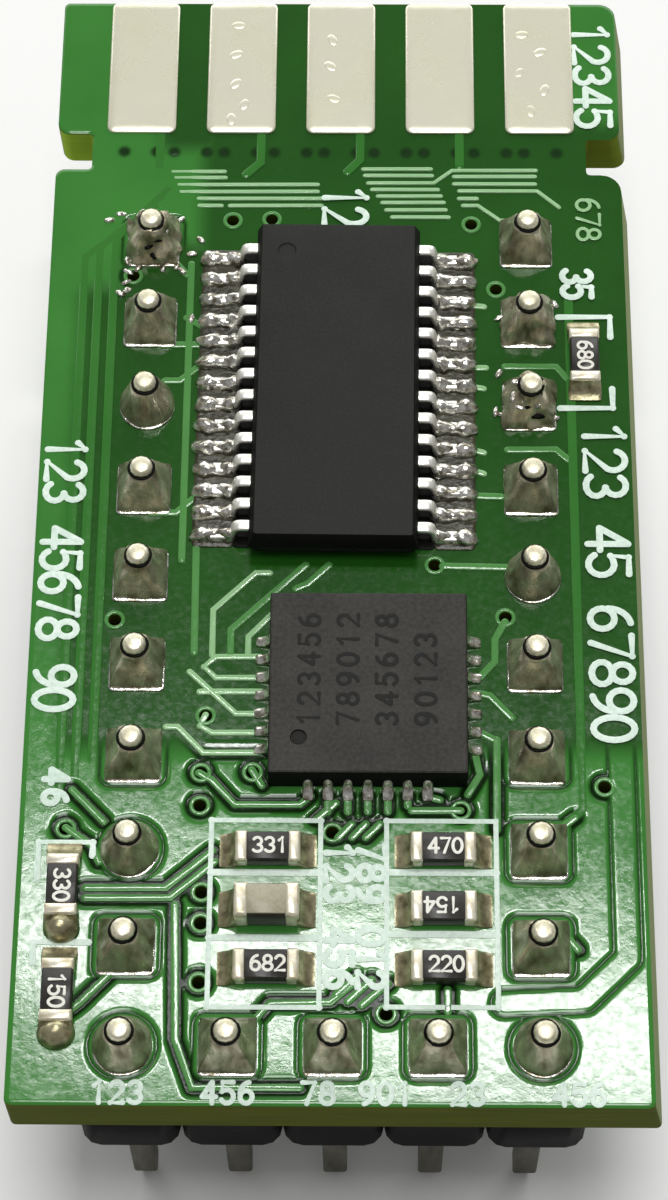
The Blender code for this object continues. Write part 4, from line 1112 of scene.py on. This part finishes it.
# Dark blobs on the rough joints are painted shade of their craters.
CRATER_SHADES = ((-4.93, 22.52, 0.75), (-5.14, 22.42, 0.6), (-5.05, 22.3, 0.35), (4.9, 17.5, 0.78),
         (5.05, 17.42, 0.7), (4.75, 17.62, 0.7), (4.55, 17.4, 0.3), (5.3, 17.25, 0.4), (5.15, 20.15, 0.6))
flecks = [(x, y, SEAT) for x, y in BOARD_FLECKS] + list(TENT_FLECKS)
for name, places, finish, size in (("solder_flecks", flecks, solder_painted_glint_and_shade, 1.0),
                                   ("burnt_flux", CRATER_SHADES, near_black_painted_shade, 1.3)):
    fleck_and_shade_blob = solid(dome(0.15 * size, 0.075 * size, 0.05 * size, (-0.6, 0.0, 0.5, 0.9, 1.2, 1.45)), sharp=60)
    spread(name, fleck_and_shade_blob, [at(*place) for place in places], [0.9 * i for i in range(len(places))], finish,
           0.12, 0.12, 19, 60)
for name, names, shape in (("pad_rims_square", square_names, outline(1.43, 1.45, 0.12)),
                           ("pad_rims_round", ROUND_PADS, disc(0, 0, 0.735, 40))):
    plate = solid(scaled(shape, ((1.0, 0.02), (1.0, 0.04), (0.985, 0.053), (0.955, 0.058))), sharp=70)
    places = [at(*pin_place(n)) - Vector((0, 0.045, 0)) * MM for n in names]
    spread(name, plate, places, [0] * len(names), solder_painted_glint_and_shade, 0.02, 0.4, 16, 70)

# %% [markdown]
# ## Line driver
# The driver is a thin moulded package with fourteen gull-wing leads a side. The moulding is a stack
# of outlines with the draft that lets it leave the mould. A Boolean cuts the first-pin dimple into
# its top, because the ring of the dimple may lie anywhere on that flat face.

# %% Line driver
def moulding(width, length, levels, corner, dimple, finish):
    """A package body about its middle, from (inset, height) levels, with a dimple and walls in painted
    shade.
    """
    body = solid([(outline(width - 2 * inset, length - 2 * inset, corner, 2), z) for inset, z in levels], 25)
    x, y, radius, depth = dimple
    top = levels[-1][1]
    body = carved(body, solid([(disc(x, y, radius * share, 28), z) for share, z in
                               ((0.86, top - depth), (1.0, top), (1.1, top + depth))]))
    body.materials.append(finish)
    body.materials.append(epoxy_walls_painted_shade)
    # Faces that look up keep the package's finish; the walls take the painted shade.
    for face in body.polygons:
        face.material_index = 0 if face.normal.z > 0.75 else 1
    return body


driver_levels = ((0.16, 0.10), (0.13, 0.13), (0.0, 0.58), (0.0, 0.62), (0.125, 1.06), (0.15, 1.09),
                 (0.19, 1.10))
body = moulding(4.4, 9.70, driver_levels, 0.06, (-1.38, 3.87, 0.25, 0.03), driver_epoxy)
body.transform(Matrix.Translation(at(*DRIVER, SEAT)) @ Matrix.Rotation(DRIVER_TURN, 4, "Z"))
show("line_driver_moulding", body, ["line_driver_ic"])

# %% [markdown]
# ## Leads of the line driver
# One lead is bent from a strip of tinned copper and set 28 times, and a mound of solder with
# painted glints and shade covers each foot. A near-black sheet between the leads is painted shadow
# under the package's sides, and a dark olive film lies between their feet. Leads and mounds are
# swept sections, which keep the bends soft with few faces.

# %% Leads of the line driver
def mound(sections, rise=1.0):
    """Solder along +X, from (x, half width, top) sections, each an arch on a flat foot."""
    rings = []
    for x, half, top in sections:
        arch = [(half * math.cos(t), 0.02 + (top - 0.02) * math.sin(t) ** rise)
                for t in [math.pi * k / 10 for k in range(11)]]
        rings.append([Vector((x, y, z)) * MM for y, z in arch + [(-half, -0.01), (half, -0.01)]])
    return mesh_of(*stack(rings), sharp=60)


def gull_wing(wide=0.30, thick=0.14):
    """One bent lead on the +X side about the package's middle line, with softened bends."""
    centre = [(2.05, 0.60), (2.42, 0.60), (2.50, 0.585), (2.555, 0.53), (2.63, 0.24), (2.67, 0.15),
              (2.74, 0.105), (2.85, 0.10), (3.20, 0.10)]
    rings = []
    for i, (x, z) in enumerate(centre):
        before, after = centre[max(i - 1, 0)], centre[min(i + 1, len(centre) - 1)]
        along = Vector((after[0] - before[0], after[1] - before[1])).normalized()
        section = outline(wide, thick, 0.045, 2)
        rings.append([Vector((x - along.y * v, u, z + along.x * v)) * MM for u, v in section])
    return mesh_of(*stack(rings), sharp=50)


foot_sections = ((2.54, 0.10, 0.14), (2.57, 0.16, 0.24), (2.64, 0.20, 0.31), (2.74, 0.21, 0.33),
                 (2.85, 0.205, 0.30), (2.97, 0.18, 0.23), (3.08, 0.165, 0.19), (3.19, 0.18, 0.21),
                 (3.31, 0.21, 0.26), (3.44, 0.22, 0.28), (3.57, 0.205, 0.24), (3.68, 0.16, 0.15),
                 (3.75, 0.09, 0.06))
lead_places, lead_spins = [], []
for side in (-1, 1):
    for y in LEAD_ROW:
        local = Matrix.Rotation(DRIVER_TURN, 3, "Z") @ Vector((0, side * y, 0))
        lead_places.append(at(DRIVER[0] + local.x, DRIVER[1] + local.y, SEAT))
        lead_spins.append(DRIVER_TURN + (math.pi if side < 0 else 0))
spread("line_driver_leads", gull_wing(), lead_places, lead_spins, plated_lead,
       0.012, 0.3, 21, 50)
spread("line_driver_solder", mound(foot_sections), lead_places, lead_spins, solder_painted_glint_and_shade,
       0.34, 0.2, 22, 70)
FILM_LENGTH = 9.1
# The sheet between the leads is painted shadow; the film between the feet is a dark olive tone.
for name, x0, x1, top, finish in (("flux_between_leads", 2.12, 2.66, 0.046, near_black_painted_shade),
                                  ("flux_between_feet", 2.6, 3.7, 0.05, olive_film)):
    film = solid([([((x0 + x1) / 2 + x, y)
                    for x, y in outline(x1 - x0 - inset, FILM_LENGTH - inset, 0.15, 6)], z)
                  for inset, z in ((0.0, 0.0), (0.0, top - 0.015), (0.05, top), (0.2, top + 0.002))])
    spread(name, film, [at(*DRIVER)] * 2, [DRIVER_TURN, DRIVER_TURN + math.pi], finish,
           0.01, 0.4, 23)

# %% [markdown]
# ## Bridge controller
# The bridge is a square leadless package. Its terminals end flush with the sides, and solder climbs
# from the pads as small tongues with painted glints and shade, seven a side. The marking of the real
# one is left off; rows of plain numbers stand in its place, in the darker tone that a laser leaves.

# %% Bridge controller
BRIDGE, BRIDGE_DOT = (0.83, 9.28), (-1.74, -1.54)
TERMINALS, TERMINAL_PITCH = 7, 0.5
bridge_levels = ((0.0, 0.0), (0.0, 0.83), (0.02, 0.875), (0.06, 0.90))
body = moulding(5.0, 5.0, bridge_levels, 0.05, (*BRIDGE_DOT, 0.21, 0.04), bridge_epoxy)
body.transform(Matrix.Translation(at(*BRIDGE, SEAT)))
show("bridge_moulding", body, ["bridge_ic"])
dot = [[at(BRIDGE[0] + x, BRIDGE[1] + y, z) for x, y in disc(*BRIDGE_DOT, 0.17 * share, 28)]
       for share, z in ((1.0, 0.895), (1.0, 0.906), (0.9, 0.912))]
show("bridge_dot", mesh_of(*stack(dot), laser_mark))
tongue = mound(((2.47, 0.13, 0.46), (2.515, 0.135, 0.44), (2.56, 0.14, 0.30), (2.62, 0.145, 0.20),
                (2.70, 0.145, 0.13), (2.80, 0.14, 0.09), (2.88, 0.11, 0.05)), rise=0.7)
tongue_places, tongue_spins = [], []
for turn in [side * QUARTER for side in range(4)]:
    for i in range(TERMINALS):
        local = Matrix.Rotation(turn, 3, "Z") @ Vector((0, (i - (TERMINALS - 1) / 2) * TERMINAL_PITCH, 0))
        tongue_places.append(at(BRIDGE[0] + local.x, BRIDGE[1] + local.y, 0.03))
        tongue_spins.append(turn)
spread("bridge_solder", tongue, tongue_places, tongue_spins, solder_painted_glint_and_shade,
       0.06, 0.18, 31, 70)

# %% [markdown]
# ## Chips
# Resistors are white ceramic bricks with a glassy black coat, and both ends are wrapped in tin.
# Their solder climbs the ends in concave ramps. A builder makes one chip of any size about the
# origin, in parts that each keep their own finish, and sets it on its place. The two chips at the
# left edge have a round ball of solder at their front ends.

# %% Chips
def brick(x0, x1, width, z0, z1, soft):
    """A box along X with softened edges, as (points, faces), in millimetres."""
    return stack([[Vector(((x0 + x1) / 2 + x, y, z)) for x, y in
                   outline(x1 - x0 - 2 * inset, width - 2 * inset, soft, 2)]
                  for inset, z in ((soft, z0), (0, z0 + soft), (0, z1 - soft), (soft, z1))])


def ramps(length, width, height, reach):
    """Solder that climbs both ends of a chip, as (points, faces), in millimetres."""
    rings = []
    for share, climb in ((-0.12, 1.0), (0.02, 0.97), (0.15, 0.66), (0.35, 0.38), (0.6, 0.2), (0.85, 0.11),
                         (1.0, 0.05)):
        half = width / 2 * (1.0 + 0.06 * math.sin(math.pi * min(max(share, 0), 1))) + 0.02
        top = max(height * climb, 0.04)
        rise = [(half, -0.01), (half, top * 0.72), (half * 0.93, top * 0.93), (half * 0.8, top)]
        section = rise + [(-y, z) for y, z in reversed(rise)]
        rings.append([Vector((length / 2 + reach * share, y, z)) for y, z in section])
    points, faces = stack(rings)
    return together([(points, faces), ([Vector((-p.x, -p.y, p.z)) for p in points], faces)])


LEFT, RIGHT, (FAR, MIDDLE, NEAR) = -1.64, 2.70, (5.03, 3.48, 1.95)
CHIPS = {
    "resistor_0603_1": (LEFT, FAR, 0), "resistor_0603_2": (LEFT, NEAR, 0),
    "resistor_0603_3": (RIGHT, FAR, 0), "resistor_0603_4": (RIGHT, MIDDLE, 0),
    "resistor_0603_5": (RIGHT, NEAR, 0), "capacitor_0603_1": (LEFT, MIDDLE, 0),
    "resistor_0603_6": (-6.69, 4.00, 90), "resistor_0603_7": (-6.69, 1.28, 90),
    "resistor_0603_8": (6.57, 19.13, 90),
}
# The side finish is the resistor's own glaze, but painted shade on the capacitor.
KINDS = {"resistor": (1.6, 0.8, 0.45, 0.3, 0.9, resistor_glaze, resistor_glaze),
         "capacitor": (1.6, 0.85, 0.85, 0.34, 0.62, capacitor_side_painted_shade, capacitor_ceramic)}
for name, (x, y, degrees) in CHIPS.items():
    kind = name.split("_")[0]
    length, width, height, cap, climb, side_glaze_and_shade, top_finish = KINDS[kind]
    half, spin = length / 2, Matrix.Rotation(math.radians(degrees), 3, "Z")
    inner, coated = half - cap * 0.5, half - cap * 0.9
    caps = [brick(start, start + cap, width, 0.0, height, 0.045) for start in (-half, half - cap)]
    for title, (points, faces), finish, replaced in (
            ("body", brick(-inner, inner, width - 0.04, 0.02, height - 0.03, 0.03), side_glaze_and_shade, [name]),
            ("coat", brick(-coated, coated, width - 0.08, height - 0.05, height - 0.012, 0.015),
             top_finish, ()),
            ("terminals", together(caps), chip_cap, ()),
            ("solder", ramps(length, width, height * climb, 0.4), chip_solder, ())):
        placed = [at(x, y, SEAT) + (spin @ p) * MM for p in points]
        show(f"{name}_{title}", mesh_of(placed, faces, finish, sharp=50), replaced)
ball = solid(dome(0.46, 0.40, 0.50, [QUARTER * k / 9 for k in range(9)], base=0.03, steps=32), sharp=60)
spread("chip_solder_balls", ball, [at(-6.69, 2.98), at(-6.69, 0.27)], [0, 0], chip_solder,
       0.1, 0.5, 41, 60)

# %% [markdown]
# ## Digits
# The legend is screen-printed with a plotter-like stroke, so each digit is drawn as a few lines
# and arcs in a box of height one. A font would bring a different, heavier letter with it.

# %% Digits
def arc_line(cx, cy, rx, ry, start, stop, steps=10):
    """Points along part of an ellipse, angles in degrees."""
    turns = [math.radians(start + (stop - start) * k / steps) for k in range(steps + 1)]
    return [(cx + rx * math.cos(t), cy + ry * math.sin(t)) for t in turns]


DIGITS = {
    "0": [arc_line(0.3, 0.5, 0.3, 0.5, 90, 450, 20)],
    "1": [[(0.12, 0.8), (0.34, 1.0), (0.34, 0.0)]],
    "2": [arc_line(0.3, 0.7, 0.28, 0.3, 160, -30, 10) + [(0.02, 0.0), (0.6, 0.0)]],
    "3": [arc_line(0.28, 0.74, 0.27, 0.26, 150, -80, 9), arc_line(0.28, 0.25, 0.3, 0.25, 80, -150, 9)],
    "4": [[(0.45, 0.0), (0.45, 1.0)], [(0.43, 0.98), (0.0, 0.3)], [(0.0, 0.3), (0.62, 0.3)]],
    "5": [[(0.55, 1.0), (0.08, 1.0), (0.04, 0.55)] + arc_line(0.28, 0.32, 0.3, 0.32, 110, -150, 11)],
    "6": [arc_line(0.5, 0.45, 0.48, 0.55, 100, 180, 6), arc_line(0.3, 0.3, 0.28, 0.3, 180, 540, 16)],
    "7": [[(0.02, 1.0), (0.58, 1.0), (0.22, 0.0)]],
    "8": [arc_line(0.3, 0.75, 0.24, 0.25, -90, 270, 14), arc_line(0.3, 0.25, 0.3, 0.25, 90, 450, 14)],
    "9": [arc_line(0.1, 0.55, 0.48, 0.55, -80, 0, 6), arc_line(0.3, 0.7, 0.28, 0.3, 0, 360, 16)],
}


def numbers(*jobs):
    """Strokes of numbers: text, its lower left corner, its height, reading direction and spacing."""
    lines = []
    for text, x, y, size, degrees, spacing in jobs:
        turn = Matrix.Rotation(math.radians(degrees), 2)
        narrow = min(1.0, spacing / 0.74)
        for place, digit in enumerate(text):
            for stroke in DIGITS.get(digit, ()):
                points = [turn @ Vector((u * narrow + place * spacing, v)) * size for u, v in stroke]
                lines.append([(x + p.x, y + p.y) for p in points])
    return lines


print("strokes of a five:", len(numbers(("5", 0, 0, 1, 0, 1))))

# %% [markdown]
# ## Ink
# The legend has boxes around the chips, corner marks and numbers in a stroke 0.18 mm wide. The
# track tree sweeps a flat bar of ink along them, finer for the codes on the chips and the marking
# of the bridge. The names on the real board are left off, so plain numbers stand there.

# %% Ink
strokes = [rectangle(*box) + [box[:2]] for box in ((-3.06, 0.98, -0.34, 5.86), (1.30, 1.00, 4.02, 5.86))]
strokes += [[(-3.06, 4.47), (-0.34, 4.47)], [(-3.06, 2.76), (-0.34, 2.76)]]
strokes += [[(1.30, 4.49), (4.02, 4.49)], [(1.30, 2.87), (4.02, 2.87)]]
strokes += [[(5.91, 20.52), (7.30, 20.53), (7.30, 19.9)], [(5.90, 17.70), (7.30, 17.71), (7.30, 18.3)]]
strokes += [[(-7.35, 4.3), (-7.35, 5.25), (-6.0, 5.25), (-6.0, 4.9)],
            [(-7.35, 2.1), (-7.35, 2.62), (-6.0, 2.62)]]
strokes += numbers(("123 45678 90", -7.66, 16.7, 0.99, -90, 0.67),
                   ("123 45 67890", 6.52, 17.2, 1.05, -90, 0.735),
                   ("12345", 6.56, 30.15, 0.95, -90, 0.76), ("12", -0.42, 24.62, 1.15, -90, 0.56),
                   ("35", 6.05, 22.0, 0.78, -90, 0.62), ("46", -7.29, 7.2, 0.58, -90, 1.0),
                   ("123 456", -0.2, 5.22, 0.66, -90, 0.84), ("789 012", 0.6, 5.22, 0.66, -90, 0.84))
foot_row = numbers(*[(text, x, -1.43, 0.52, 0, 0.86) for text, x in
                     (("123", -5.77), ("456", -3.11), ("78", -0.72), ("901", 0.67), ("23", 2.87),
                      ("456", 5.32))])
copper_number = numbers(("678", 6.5, 24.3, 0.62, -90, 0.76))
bridge_rows = numbers(*[(text, -0.41 + 0.98 * i, 8.1, 0.51, 90, 1.07) for i, text in
                        enumerate(("123456", "789012", "345678", "90123"))])
codes = numbers(*[(text, x, y, 0.38, degrees, 0.78) for text, x, y, degrees in (
    ("331", -2.0, 4.85, 0), ("470", 2.34, 4.85, 0), ("682", -2.0, 1.77, 0), ("154", 3.06, 3.67, 180),
    ("220", 2.34, 1.77, 0), ("330", -6.87, 4.36, -90), ("150", -6.87, 1.64, -90),
    ("680", 6.39, 19.49, -90))])
scuffs = [[(-2.02, 17.9), (-1.9, 18.12)], [(-1.78, 17.55), (-1.86, 17.8)], [(-1.6, 18.02), (-1.42, 17.93)],
          [(-1.72, 17.2), (-1.5, 17.3)], [(-1.3, 17.45), (-1.36, 17.3)], [(-2.1, 21.3), (-1.95, 21.2)]]
for name, lines, z, width, thick, shoulder, finish, slot in (
        ("legend", strokes, 0.04, 0.18, 0.02, 0.008, screen_ink, "circuit_board"),
        ("legend_small", foot_row, 0.042, 0.13, 0.02, 0.008, screen_ink, "circuit_board"),
        ("copper_number", copper_number, 0.036, 0.1, 0.03, 0.012, fine_paint_painted_glint, "circuit_board"),
        ("bridge_numbers", bridge_rows, 0.942, 0.1, 0.008, 0.0032, laser_mark, "package_grey"),
        ("driver_scuffs", scuffs, 1.042, 0.06, 0.006, 0.002, bridge_epoxy, "package_black"),
        ("resistor_numbers", codes, 0.484, 0.078, 0.012, 0.0048, code_ink, "chip_resistor")):
    show(name, sweep(lines, z, finish, width, thick, shoulder))

# %% [markdown]
# ## Finish
# Colours go out as they are, with no film curve over them.

# %% Finish
bpy.context.scene.view_settings.view_transform = "Standard"
